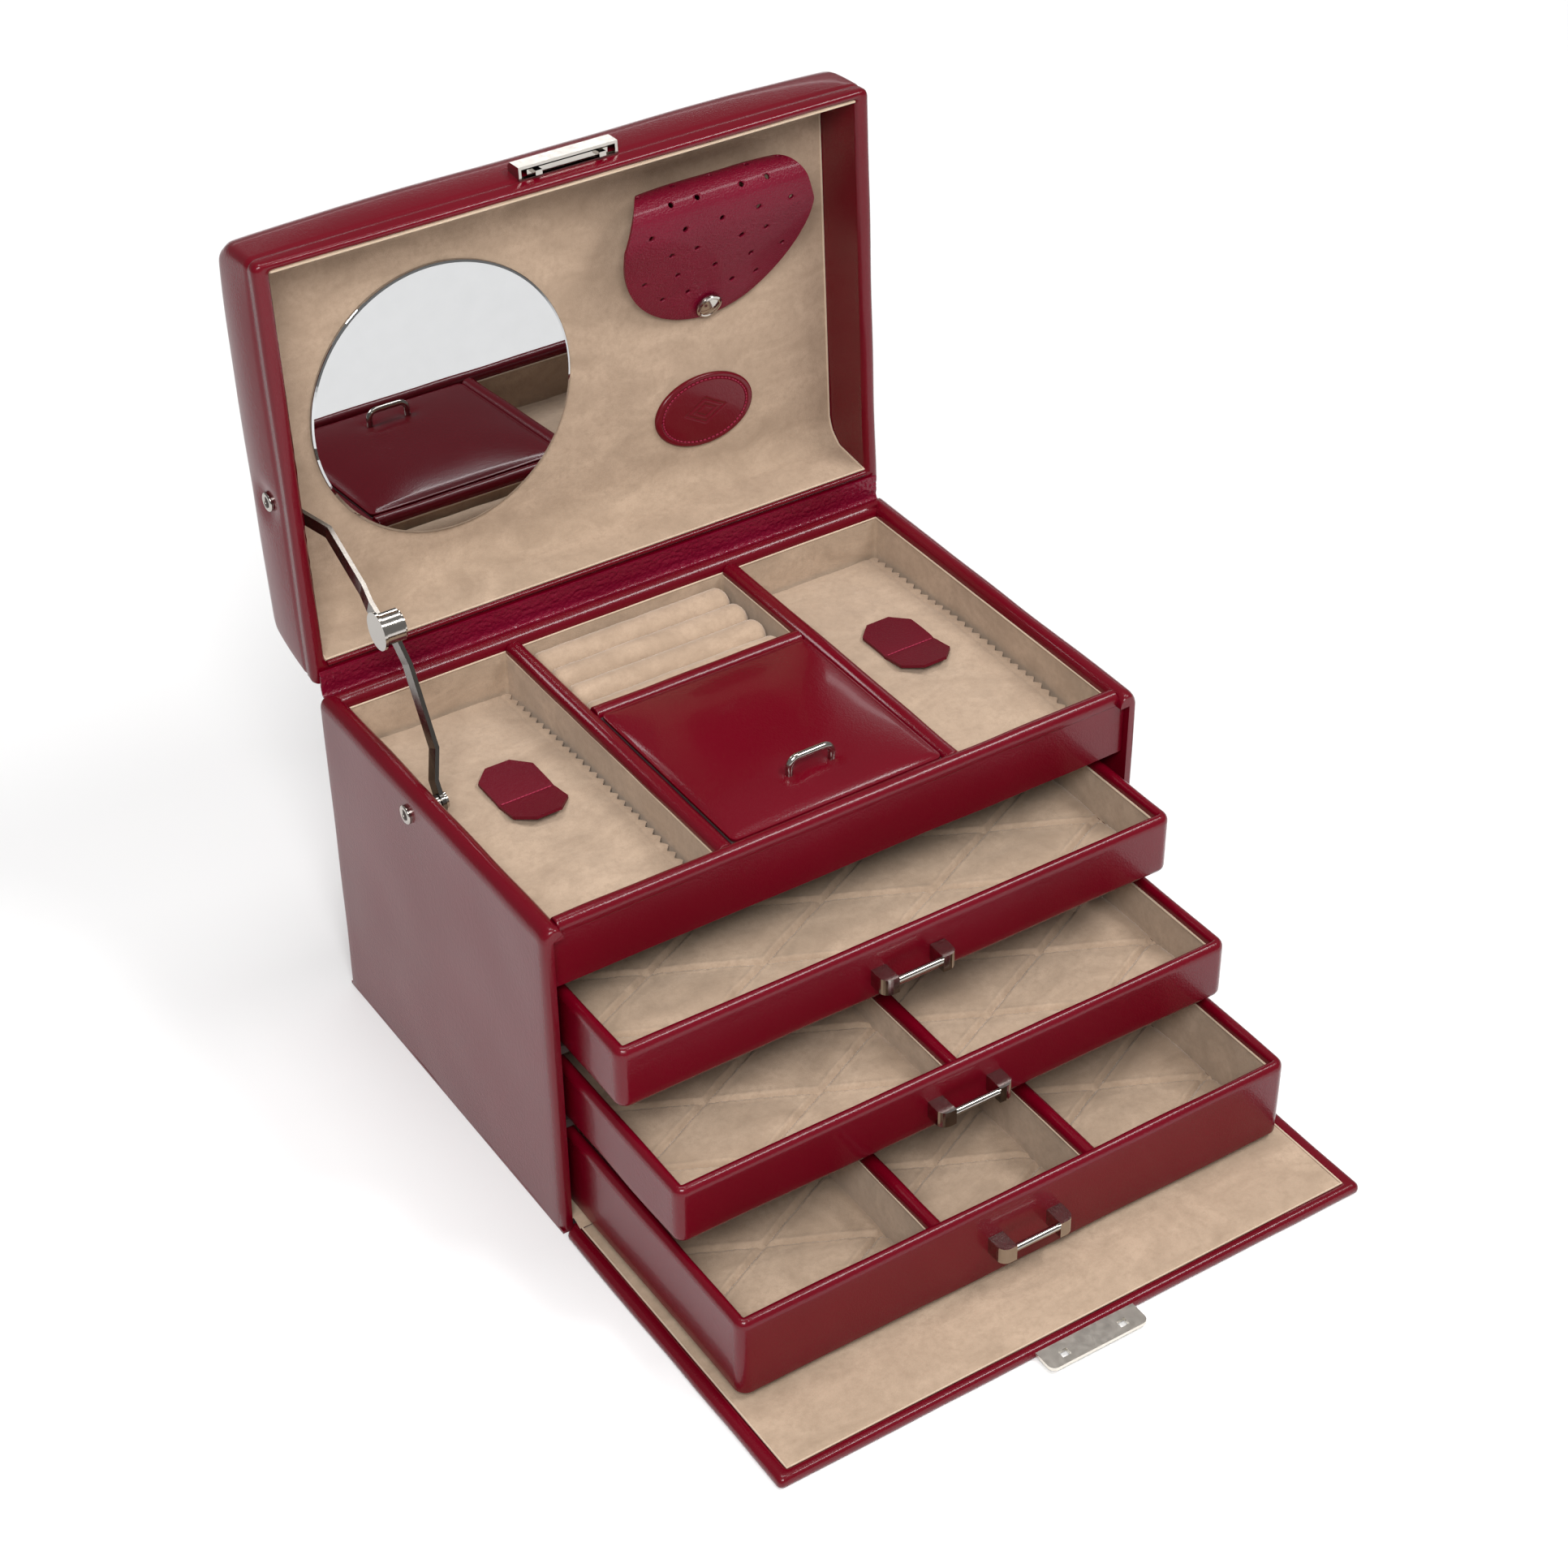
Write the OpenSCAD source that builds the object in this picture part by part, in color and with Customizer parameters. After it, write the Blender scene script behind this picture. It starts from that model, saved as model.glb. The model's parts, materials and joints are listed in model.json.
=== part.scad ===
// Leather jewellery case with a fold-down front, three drawers and a padded lid.
// Millimetres, +Z up, origin at the middle of the case's footprint.
// The case stands open: lid up, front flap down, drawers pulled out in steps.

/* [Case] */
// Width of the case body
case_w = 280; // [276:1:300]
// Depth of the case body, front to back
case_d = 185; // [184:0.5:188]
// Height of the case body, up to the tray rim
case_h = 155; // [155:0.5:158]
// Thickness of a side or back wall over its leather
wall_t = 4.5; // [4.2:0.1:4.8]
// Thickness of the leather
leather_t = 1.4; // [1:0.1:1.6]
// Thickness of the suede lining
suede_t = 0.8; // [0.5:0.1:1]
// Width of the padded rim round the tray
rim_w = 9; // [8.5:0.1:9.5]

/* [Tray] */
// Depth of the tray, from its rim to its board
tray_depth = 29; // [28:0.5:30]
// Width of a tray divider
divider_w = 7.5; // [7:0.1:8]
// Width of the compartment in the middle
centre_w = 100; // [96:1:104]
// Rear face of the cross divider
cross_y = 26.2; // [24:0.1:28]
// Radius of one ring roll
roll_r = 6.8; // [6.5:0.1:6.9]
// Number of ring rolls
roll_n = 4; // [4:1:4]

/* [Drawers] */
// Width of a drawer
drawer_w = 262; // [258:1:262]
// Length of a drawer, front to back
drawer_l = 160; // [150:1:162]
// Height of the top drawer
drawer_1_h = 28.3; // [26:0.1:30]
// Height of the middle drawer
drawer_2_h = 27.4; // [25:0.1:30]
// Height of the bottom drawer
drawer_3_h = 37.7; // [36:0.1:38.5]
// How far the top drawer is pulled out
drawer_1_out = 36.9; // [0:0.1:118]
// How far the middle drawer is pulled out
drawer_2_out = 76.3; // [0:0.1:118]
// How far the bottom drawer is pulled out
drawer_3_out = 117.9; // [0:0.1:118]

/* [Front flap] */
// Length of the front flap, hinge to free edge
flap_l = 158; // [150:1:160]
// Thickness of the front flap
flap_t = 4.2; // [4:0.1:4.5]

/* [Lid] */
// Height of the lid over its rim
lid_h = 42; // [41:0.5:44]
// Depth of the lid's lined inside
lid_inside = 28; // [26:0.5:28]
// Angle that the lid stands open
lid_open = 93; // [0:1:93]
// Radius of the mirror
mirror_r = 59.6; // [50:0.1:60]

/* [Lid stay] */
// Length of each arm of the stay, eye to eye
stay_l = 72; // [72:1:72]
// Width of a stay arm
stay_w = 7; // [6:0.5:8]

/* [Hidden] */
$fn = 48;
half_w = case_w / 2;
half_d = case_d / 2;
inner_x = half_w - wall_t;
rim_x = half_w - rim_w;
rim_y = half_d - rim_w - 0.2;
board_y = half_d - wall_t;
touch = 0.1;

leather = [0.45, 0.03, 0.13];
suede = [0.72, 0.63, 0.52];
board = [0.35, 0.25, 0.18];
metal = [0.78, 0.77, 0.75];

// Base, shelves and tray levels
base_z = 6;
floor_z = base_z + suede_t;
shelf_t = 4.1;
lower_shelf_z = 51.1;
upper_shelf_z = 89.7;
tray_z = case_h - tray_depth;
tray_board_t = 3.4;
roll_top = 5;
roll_z = case_h - roll_top;
divider_h = case_h - 1.5;
front_y = -(half_d - 2.8);
front_t = 6.4;
inside_front_y = front_y + front_t;
centre_x = centre_w / 2;
side_x = centre_x + divider_w;
cross_t = 7;
divider_cap = 4.5;

// Drawers: lowest point, height and how far out, from the top one down
drawer_gap = 0.5;
drawer_z = [upper_shelf_z + drawer_gap, lower_shelf_z + drawer_gap, floor_z + drawer_gap];
drawer_h = [drawer_1_h, drawer_2_h, drawer_3_h];
drawer_out = [drawer_1_out, drawer_2_out, drawer_3_out];
drawer_dividers = [[], [0], [-37, 37]];
drawer_wall = 4.2;
drawer_base = 2.4;
drawer_r = 5;
drawer_rim = 4.2;
drawer_divider_t = 5;
drawer_divider_cap = 3.4;
pad_t = 3;
pull_w = 35;
pull_block = 7;
pull_deep = 9.6;
pull_tall = 7.5;
pull_bar_r = 1.5;
pull_bar_out = 8;

// Lid: hinge axis, rim plane and profile
hinge_y = half_d + 2;
hinge_z = case_h + 1;
lid_z = case_h + 0.8;
lid_back_r = 22;
lid_front_r = 20;
lid_front_s = 186;
lid_end_r = 14;
lid_end_wall = 6;
lid_core_gap = 0.1;
// Slopes of the lid's inside, each as [foot, top], with the heights of both
room_low_h = 0.6;
room_back = [9.5, 13.3];
room_back_h = 20.3;
room_front = [182.2, 171.8];
room_front_h = 26.2;
room_cove = [19, 25];
room_cove_h = 26.4;
room_flat_end = 168.5;
mirror_x = -55.3;
mirror_s = 93.5;
mirror_t = 2;
badge_x = 67.9;
badge_s = 49.3;
flap_x = 70.2;
loop_s = 151;
loop_r = 10.7;
loop_gap = 0.9;
snap_s = 99.9;
tail_s = [110, 93];
tail_out = [8.4, 3];
snap_r = 6;
snap_t = 1.8;
// Rows of holes in the flap: two round the loop, given by angle, and four along it, given by s
loop_rows = [0, -56];
flat_rows = [145.2, 133.4, 121.5, 110.1];
holes_of_five = [-34, -18, 0, 18, 34];
holes_of_four = [-23.3, -10.8, 10.8, 23.3];
lock_w = 45;
lock_low = 5.6;
lock_high = 14.7;
lock_out = 6.4;

// Stay: pivots in the open case, as [y, z]
stay_body = [15.6, 142.5];
stay_elbow = [51.1, 205.1];
stay_lid = [116.7, 235];
stay_lid_closed = [14.5, 174];
stay_t = 1.8;
pin_r = 1.5;
pin_fit = 0.05;
stay_low_x = -125.3;
stay_low_run_x = -121;
stay_elbow_x = -122.5;
stay_up_x = -126;
stay_up_run_x = -125;
stay_eye_x = -132.7;

// Inner lid of the middle compartment
inner_lid_w = centre_w - 1;
inner_lid_y = 18.5;
inner_pin_y = 11.2;
inner_pin_z = case_h - 5.4;
inner_board_low = case_h - 6.8;
inner_board_high = case_h - 4;
inner_pin_r = 1;
inner_x0 = inner_lid_w / 2;
inner_front_y = inside_front_y + suede_t + 0.5;
inner_high = case_h - 1.2;

// Front flap and its lock plate
flap_near_y = -half_d - 2.1;
flap_far_y = -half_d - flap_l;
flap_side = 6;
flap_end = 4.5;
flap_core_y = -half_d - 5.3;
plate_x = 23.4;
plate_z = 1.6;
plate_t = 1.5;
plate_out = 10.5;
plate_in = 16;

// Cover cloths
cloth_t = 1;
cloth_back_z = tray_z + 5;
cloth_left = [-118, -58.2];
cloth_right = [58.2, 130];
cloth_y = [-82.2, 81.8];
tab_left_x = -90;
tab_right_x = 98;

// ---- Helpers ----

// Points of an arc about c from angle a0 to angle a1
function arc(c, r, a0, a1, n = 6) =
    [for (i = [0:n]) c + r * [cos(a0 + (a1 - a0) * i / n), sin(a0 + (a1 - a0) * i / n)]];

// A box given by its lowest and highest corners
module block(lo, hi) {
    translate(lo) cube(hi - lo);
}

// Stands a [y, z] outline up and runs it from x0 to x1
module along_x(x0, x1) {
    translate([x0, 0, 0]) rotate([90, 0, 90]) linear_extrude(x1 - x0) children();
}

// Stands an [x, z] outline up and runs it from y0 to y1
module along_y(y0, y1) {
    translate([0, y1, 0]) rotate([90, 0, 0]) linear_extrude(y1 - y0) children();
}

// A rod along X at [y, z]
module rod_x(at, r, x0, x1) {
    translate([x0, at[0], at[1]]) rotate([0, 90, 0]) cylinder(r = r, h = x1 - x0);
}

module both_sides() {
    children();
    mirror([1, 0, 0]) children();
}

// ---- Case ----

module base_cover() {
    color(leather) block([-half_w, -half_d, 0], [half_w, half_d, leather_t - touch]);
}

module base_board() {
    color(board) block([-inner_x, -half_d + leather_t, leather_t - touch], [inner_x, board_y, base_z]);
}

module floor_lining() {
    color(suede) block([-inner_x, -half_d + touch, base_z], [inner_x, board_y, floor_z]);
}

// The stay's rivet runs through everything in the left wall
module stay_rivet_hole() {
    rod_x(stay_body, pin_r + touch, -half_w - 5, -rim_x + 5);
}

module side_wall_boards() {
    color(board) difference() {
        both_sides() block([inner_x, -half_d + leather_t, leather_t], [half_w - leather_t, board_y, roll_z]);
        stay_rivet_hole();
    }
}

// Outline [x, z] of a wall's leather: outer skin and padded roll over the rim
function wall_skin(out, skin_in, roll_in, low) = concat(
    [[out, low], [out, roll_z]],
    arc([out - 3, case_h - 3], 3, 0, 90),
    arc([roll_in + 3, case_h - 3], 3, 90, 180),
    [[roll_in, roll_z], [skin_in, roll_z], [skin_in, low]]);

module side_wall_leather() {
    color(leather) difference() {
        both_sides() union() {
            along_y(-half_d, half_d - leather_t)
                polygon(wall_skin(half_w, half_w - leather_t, rim_x, leather_t));
            block([inner_x, -half_d, leather_t], [half_w - leather_t, -half_d + leather_t, roll_z]);
        }
        stay_rivet_hole();
    }
}

module back_wall_board() {
    color(board) block([-inner_x, board_y, leather_t], [inner_x, half_d - leather_t, roll_z]);
}

module back_wall_leather() {
    color(leather) {
        block([-half_w, half_d - leather_t, leather_t], [half_w, half_d, roll_z]);
        along_x(-rim_x, rim_x) polygon(concat(
            [[half_d, roll_z]],
            arc([half_d - 3, case_h - 3], 3, 0, 90),
            arc([rim_y + 3, case_h - 3], 3, 90, 180),
            [[rim_y, roll_z]]));
    }
}

// ---- Tray ----

module tray_floor() {
    color(board) block([-inner_x, inside_front_y, tray_z - tray_board_t], [inner_x, board_y, tray_z]);
}

// Boards inside the walls, which carry the rim
module tray_frame() {
    color(board) difference() {
        union() {
            both_sides() block([rim_x + suede_t, inside_front_y, tray_z], [inner_x, board_y, roll_z]);
            block([-rim_x - suede_t, rim_y + suede_t, tray_z], [rim_x + suede_t, board_y, roll_z]);
        }
        stay_rivet_hole();
    }
}

module tray_front() {
    roll_r_front = front_t / 2;
    color(leather) {
        block([-inner_x, front_y, tray_z - leather_t], [inner_x, inside_front_y, roll_z]);
        along_x(-rim_x, rim_x) polygon(concat(
            [[front_y, roll_z]],
            arc([front_y + roll_r_front, case_h - roll_r_front], roll_r_front, 180, 0, 10),
            [[inside_front_y, roll_z]]));
    }
}

// The inner lid's hinge pins turn in these holes
module inner_pin_holes() {
    rod_x([inner_pin_y, inner_pin_z], inner_pin_r + pin_fit, -centre_x - 4, centre_x + 4);
}

module long_dividers() {
    color(leather) difference() {
        both_sides() along_y(inside_front_y + touch, rim_y - touch) polygon(concat(
            [[centre_x, divider_h - divider_cap]],
            arc([centre_x + divider_w / 2, divider_h - divider_w / 2], divider_w / 2, 180, 0, 10),
            [[side_x, divider_h - divider_cap],
             [side_x - suede_t, divider_h - divider_cap], [side_x - suede_t, tray_z],
             [centre_x + suede_t, tray_z], [centre_x + suede_t, divider_h - divider_cap]]));
        inner_pin_holes();
    }
}

module cross_divider() {
    color(leather) along_x(-centre_x, centre_x) polygon(concat(
        [[cross_y - cross_t + suede_t, tray_z],
         [cross_y - cross_t + suede_t, divider_h - divider_cap],
         [cross_y - cross_t, divider_h - divider_cap]],
        arc([cross_y - cross_t / 2, divider_h - cross_t / 2], cross_t / 2, 180, 0, 10),
        [[cross_y, divider_h - divider_cap], [cross_y - suede_t, divider_h - divider_cap],
         [cross_y - suede_t, tray_z]]));
}

// One open suede tray, given by its inner walls
module suede_tray(x0, x1, y0, y1, top) {
    difference() {
        block([x0 - suede_t, y0 - suede_t, tray_z], [x1 + suede_t, y1 + suede_t, top]);
        block([x0, y0, tray_z + suede_t], [x1, y1, top + 1]);
    }
}

module tray_linings() {
    top = divider_h - divider_cap;
    front = inside_front_y + suede_t;
    color(suede) difference() {
        union() {
            suede_tray(-rim_x, -side_x, front, rim_y, top);
            suede_tray(side_x, rim_x, front, rim_y, top);
            suede_tray(-centre_x, centre_x, front, cross_y - cross_t, top);
            suede_tray(-centre_x, centre_x, cross_y, rim_y, top);
        }
        stay_rivet_hole();
        inner_pin_holes();
    }
}

// Soft rolls with round ends on a block of foam
module ring_rolls() {
    side_gap = 3;
    foam_h = 10;
    end_r = 4;
    pitch = (rim_y - cross_y - 2 * roll_r - 2 * touch) / (roll_n - 1);
    roll_half = centre_x - side_gap;
    foam_z = tray_z + suede_t;
    color(suede) {
        block([-roll_half, cross_y + touch, foam_z], [roll_half, rim_y - touch, foam_z + foam_h]);
        for (i = [0:roll_n - 1])
            translate([0, cross_y + touch + roll_r + i * pitch, foam_z + foam_h + roll_r / 2])
                rotate([0, 90, 0]) translate([0, 0, -roll_half]) rotate_extrude()
                    polygon(concat([[0, 0]],
                        arc([roll_r - end_r, end_r], end_r, -90, 0, 5),
                        arc([roll_r - end_r, 2 * roll_half - end_r], end_r, 0, 90, 5),
                        [[0, 2 * roll_half]]));
    }
}

// Strips that the inner lid rests on, along the front wall and both dividers
module inner_lid_ledges() {
    ledge = 2.2;
    high = 6;
    front = inside_front_y + suede_t;
    color(suede) {
        block([-centre_x, front, inner_board_low - high], [centre_x, front + ledge, inner_board_low - touch]);
        both_sides() block([centre_x - ledge, front + ledge, inner_board_low - high],
                           [centre_x, 0, inner_board_low - touch]);
    }
}

// ---- Drawer bays ----

module drawer_shelves() {
    color(board) for (z = [lower_shelf_z, upper_shelf_z])
        block([-inner_x, -half_d + 8, z - shelf_t], [inner_x, board_y, z]);
}

module drawer_guides() {
    guide_t = 3.8;
    guide_h = 14;
    color(board) for (z = [floor_z, lower_shelf_z, upper_shelf_z])
        both_sides() block([inner_x - guide_t, -half_d + 20, z], [inner_x, board_y - 2, z + guide_h]);
}

// ---- Hinges and rivets ----

module stay_body_rivet() {
    head_r = 4;
    tip_x = stay_low_x + stay_t / 2 + 0.2;
    color(metal) {
        rod_x(stay_body, head_r, -half_w - 1, -half_w);
        rod_x(stay_body, pin_r, -half_w, tip_x);
        rod_x(stay_body, head_r - 0.5, -rim_x, stay_low_x - stay_t / 2 - 0.2);
        rod_x(stay_body, head_r - 0.5, tip_x, tip_x + 1.2);
    }
}

// Leather band behind the rim, from the case up to the lid
module lid_hinge_strip() {
    color(leather) along_x(-rim_x, rim_x)
        polygon([[half_d, roll_z - 4], [half_d + 0.9, roll_z - 4], [half_d + 1.2, case_h + 0.2],
                 [half_d + 0.4, case_h + 0.6], [half_d, case_h - 1]]);
}

// Suede fold from the case's floor to the front flap
module flap_hinge_strip() {
    color(suede) along_x(-inner_x, inner_x)
        polygon([[-half_d, base_z], [-half_d, floor_z], [-half_d - 4.9, flap_t + suede_t],
                 [-half_d - 4.9, flap_t + 0.1]]);
}

// ---- Lid, modelled shut and swung open about the hinge axis ----

module open_lid() {
    translate([0, hinge_y, hinge_z]) rotate([-lid_open, 0, 0]) translate([0, -hinge_y, -hinge_z])
        children();
}

// Lid coordinates: s runs forward from the case's back, h up from the lid's rim plane
function lid_pt(p) = [half_d - p[0], lid_z + p[1]];
function lid_pts(list) = [for (p = list) lid_pt(p)];

// Outer outline [s, h] of the lid, set in by o
function lid_outline(o, low) = concat(
    [[-1.5 + 1.04 * o, low]],
    arc([28.5, 20], lid_back_r - o, 162, 90),
    [for (i = [1:5]) let (t = i / 6) [28.5 + 137.5 * t, lid_h - o + 1.5 * sin(180 * t) - 0.5 * t]],
    arc([lid_front_s - lid_front_r, 21.5], lid_front_r - o, 90, 0),
    [[lid_front_s - o, low]]);

// End outline [x, z] of the lid, set in by o
function lid_ends(o, low) =
    let (x = half_w - o, r = lid_end_r - o, z = lid_z + lid_h + 1.2 - o)
    concat([[-x, lid_z + low]],
        arc([-x + r, z - r], r, 180, 90),
        arc([x - r, z - r], r, 90, 0),
        [[x, lid_z + low]]);

// Solid of the lid set in by o, from height low over the rim plane
module lid_block(o, low) {
    intersection() {
        along_x(-half_w, half_w) polygon(lid_pts(lid_outline(o, low)));
        along_y(-half_d - 5, half_d + 5) polygon(lid_ends(o, low));
    }
}

// Outline [s, h] of the lid's lined inside, set out by o
function lid_room(o, low) =
    let (back_rise = (room_back[1] - room_back[0]) / (room_back_h - room_low_h),
         front_rise = (room_front[1] - room_front[0]) / (room_front_h - room_low_h),
         d = low - room_low_h)
    [[room_back[0] + back_rise * d - o, low], [room_back[1] - o, room_back_h],
     [room_cove[0] - 0.7 * o, room_cove_h + 0.7 * o], [room_cove[1], lid_inside + o],
     [room_flat_end, lid_inside + o], [room_front[1] + 0.7 * o, room_front_h + 0.7 * o],
     [room_front[0] + front_rise * d + o, low]];

module lid_room_block(o, x, low) {
    along_x(-x, x) polygon(lid_pts(lid_room(o, low)));
}

// Hole for the stay's rivet through the lid's left end
module lid_rivet_hole() {
    rod_x(stay_lid_closed, pin_r + touch, -half_w - 5, -half_w + lid_end_wall + 5);
}

module lid_leather() {
    color(leather) open_lid() difference() {
        lid_block(0, 0);
        lid_block(leather_t, leather_t);
        lid_room_block(suede_t, half_w - lid_end_wall, -1);
        lid_rivet_hole();
    }
}

// Four walls of the lid inside the leather
module lid_frame() {
    color(board) open_lid() difference() {
        intersection() {
            lid_block(leather_t + lid_core_gap, leather_t + lid_core_gap);
            block([-half_w, -half_d - 5, 0], [half_w, half_d + 5, lid_z + lid_inside + suede_t]);
        }
        lid_room_block(suede_t + touch, half_w - lid_end_wall, -1);
        lid_rivet_hole();
    }
}

module lid_top_board() {
    board_t = 3;
    low = lid_inside + suede_t + lid_core_gap;
    color(board) open_lid() intersection() {
        lid_block(leather_t + lid_core_gap, leather_t);
        block([-half_w, -half_d - 5, lid_z + low], [half_w, half_d + 5, lid_z + low + board_t]);
    }
}

module lid_padding() {
    low = lid_inside + suede_t + 3.3;
    color(suede) open_lid() intersection() {
        lid_block(leather_t + lid_core_gap, leather_t);
        block([-half_w, -half_d - 5, lid_z + low], [half_w, half_d + 5, lid_z + 60]);
    }
}

module lid_lining() {
    color(suede) open_lid() difference() {
        lid_room_block(suede_t, half_w - lid_end_wall, room_low_h);
        lid_room_block(0, half_w, -1);
    }
}

// Disc on the lid's lining, from depth d0 to d1 out of it
module lining_disc(x, s, r, d0, d1) {
    translate([x, half_d - s, lid_z + lid_inside - d1]) cylinder(r = r, h = d1 - d0, $fn = 96);
}

module lid_mirror() {
    color([0.85, 0.88, 0.9]) open_lid() lining_disc(mirror_x, mirror_s, mirror_r, 0, mirror_t);
}

module lid_badge() {
    a = 24.5;
    b = 16.5;
    color(leather) open_lid() translate([badge_x, half_d - badge_s, lid_z + lid_inside - 1.6])
        linear_extrude(1.6) polygon([for (t = [0:10:350]) [a * cos(t), b * sin(t)]]);
}

// Outline [x, s] of the earring flap: straight sides that widen, and a round end
function earring_outline() = concat(
    [[flap_x - 37, 163], [flap_x - 43, 151]],
    arc_oval([flap_x, 141], 46, 47, 180, 360, 14),
    [[flap_x + 43, 151], [flap_x + 37, 163]]);
function arc_oval(c, a, b, a0, a1, n) =
    [for (i = [0:n]) c + [a * cos(a0 + (a1 - a0) * i / n), b * sin(a0 + (a1 - a0) * i / n)]];

module earring_cut() {
    translate([0, half_d, 0]) mirror([0, 1, 0]) linear_extrude(lid_z + lid_h)
        polygon(earring_outline());
}

// Points [s, h] along one face of the flap's bulge, set in by o from its outer face
function bulge(o) = concat(
    arc([loop_s, lid_inside - loop_gap - loop_r], loop_r - o, 60, -88, 8),
    [[142, lid_inside - 21.4 + o], [134, lid_inside - 18.6 + o], [122, lid_inside - 13.6 + o],
     [tail_s[0], lid_inside - tail_out[0] + o], [tail_s[1], lid_inside - tail_out[1] + o]]);
function reversed(list) = [for (i = [len(list) - 1:-1:0]) list[i]];

// Back leaf of the earring flap, glued to the lining
module earring_backing() {
    leaf = 0.8;
    color(leather) open_lid() intersection() {
        block([flap_x - 50, half_d - 160, lid_z + lid_inside - leaf],
              [flap_x + 50, half_d - 96, lid_z + lid_inside]);
        earring_cut();
    }
}

function holes_in_row(i) = i % 2 == 0 ? holes_of_five : holes_of_four;

module earring_holes() {
    hole_r = 1.1;
    $fn = 16;
    for (i = [0:len(loop_rows) - 1]) for (x = holes_in_row(i))
        translate([flap_x + x, half_d - loop_s, lid_z + lid_inside - loop_gap - loop_r])
            rotate([90 - loop_rows[i], 0, 0]) translate([0, 0, loop_r - leather_t - 1])
                cylinder(r = hole_r, h = leather_t + 2);
    for (i = [0:len(flat_rows) - 1]) for (x = holes_in_row(i))
        translate([flap_x + x, half_d - flat_rows[i], lid_z]) cylinder(r = hole_r, h = lid_inside - 3);
}

module earring_flap() {
    color(leather) open_lid() difference() {
        intersection() {
            along_x(flap_x - 50, flap_x + 50)
                polygon(lid_pts(concat(bulge(0), reversed(bulge(leather_t)))));
            earring_cut();
        }
        earring_holes();
    }
}

module earring_snap_stud() {
    color(metal) open_lid() lining_disc(flap_x, snap_s, 3, 0.8, 2.6);
}

// Lies on the sloping end of the flap
module earring_snap_cap() {
    rise = (tail_out[0] - tail_out[1]) / (tail_s[0] - tail_s[1]);
    out = tail_out[1] + rise * (snap_s - tail_s[1]);
    color(metal) open_lid() translate([flap_x, half_d - snap_s, lid_z + lid_inside - out])
        rotate([atan(rise), 0, 0]) translate([0, 0, -snap_t - touch / 2]) cylinder(r = snap_r, h = snap_t);
}

// Lock on the lid's front, hollow underneath
module lock_case() {
    wall = 1.2;
    x = lock_w / 2;
    front = half_d - lid_front_s - lock_out;
    back = half_d - lid_front_s;
    color(metal) open_lid() difference() {
        along_x(-x, x) polygon([[back, lid_z + lock_low], [front, lid_z + lock_low],
                                [front, lid_z + lock_high - 2], [front + 2, lid_z + lock_high],
                                [back, lid_z + lock_high]]);
        block([-x + wall, front + wall, lid_z + lock_low - 1], [x - wall, back - wall, lid_z + lock_high - 3]);
    }
}

// Sliding bar with the two hooks that catch the plate on the flap
module lock_latch() {
    slide = 3;
    x = lock_w / 2 - 1.2 - slide;
    hook_x = 14.5;
    y = half_d - lid_front_s - lock_out / 2;
    color(metal) open_lid() {
        block([-x, y - 1, lid_z + lock_low + 1], [x, y + 1, lid_z + lock_low + 4]);
        for (side = [-1, 1])
            block([side * hook_x - 1.5, y - 1, lid_z + lock_low - 2],
                  [side * hook_x + 1.5, y + 1, lid_z + lock_low + 1]);
    }
}

module stay_lid_rivet() {
    color(metal) open_lid() {
        rod_x(stay_lid_closed, 4, -half_w - 1, -half_w);
        rod_x(stay_lid_closed, pin_r, -half_w, -half_w + lid_end_wall - touch);
    }
}

// ---- Lid stay ----

// Cranked flat bar along +Y from the origin, as [y, x] points of its middle line
module cranked_arm(line) {
    h = stay_t / 2;
    side_a = [for (p = line) [p[1] - h, p[0]]];
    side_b = [for (p = line) [p[1] + h, p[0]]];
    translate([0, 0, -stay_w / 2]) linear_extrude(stay_w) polygon(concat(side_a, reversed(side_b)));
}

module arm_eye(y, x, r, hole) {
    difference() {
        rod_x([y, 0], r, x - stay_t / 2, x + stay_t / 2);
        if (hole > 0) rod_x([y, 0], hole, x - stay_t, x + stay_t);
    }
}

function direction(a, b) = atan2(b[1] - a[1], b[0] - a[0]);

module stay_lower_arm() {
    eye_r = stay_w / 2 + 1;
    color(metal) translate([0, stay_body[0], stay_body[1]])
        rotate([direction(stay_body, stay_elbow), 0, 0]) {
            difference() {
                union() {
                    cranked_arm([[0, stay_low_x], [9, stay_low_x], [21, stay_low_run_x],
                                 [56, stay_low_run_x], [66, stay_elbow_x], [stay_l, stay_elbow_x]]);
                    arm_eye(0, stay_low_x, eye_r, 0);
                    arm_eye(stay_l, stay_elbow_x, eye_r, 0);
                }
                rod_x([0, 0], pin_r + pin_fit, stay_low_x - 2, stay_low_x + 2);
                rod_x([stay_l, 0], pin_r, stay_elbow_x - 3, stay_elbow_x + 3);
            }
        }
}

// Pin, two discs and the bright cover of the stay's elbow
module stay_elbow_cover() {
    disc_r = 8;
    cover_r = 7.4;
    cover_t = 1;
    left_x = -129.2;
    right_x = -118.6;
    color(metal) translate([0, stay_body[0], stay_body[1]])
        rotate([direction(stay_body, stay_elbow), 0, 0]) translate([0, stay_l, 0]) {
            rod_x([0, 0], pin_r, left_x, right_x);
            rod_x([0, 0], disc_r, left_x, left_x + 1.2);
            rod_x([0, 0], disc_r - 2, right_x - 1.2, right_x);
            difference() {
                rod_x([0, 0], cover_r, left_x + 1.2, right_x - 1.2);
                rod_x([0, 0], cover_r - cover_t, left_x + 1.2, right_x);
                along_x(left_x, right_x)
                    polygon([[0, 0], [20, 8], [20, -20], [-20, -20], [-20, 14]]);
            }
        }
}

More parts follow.
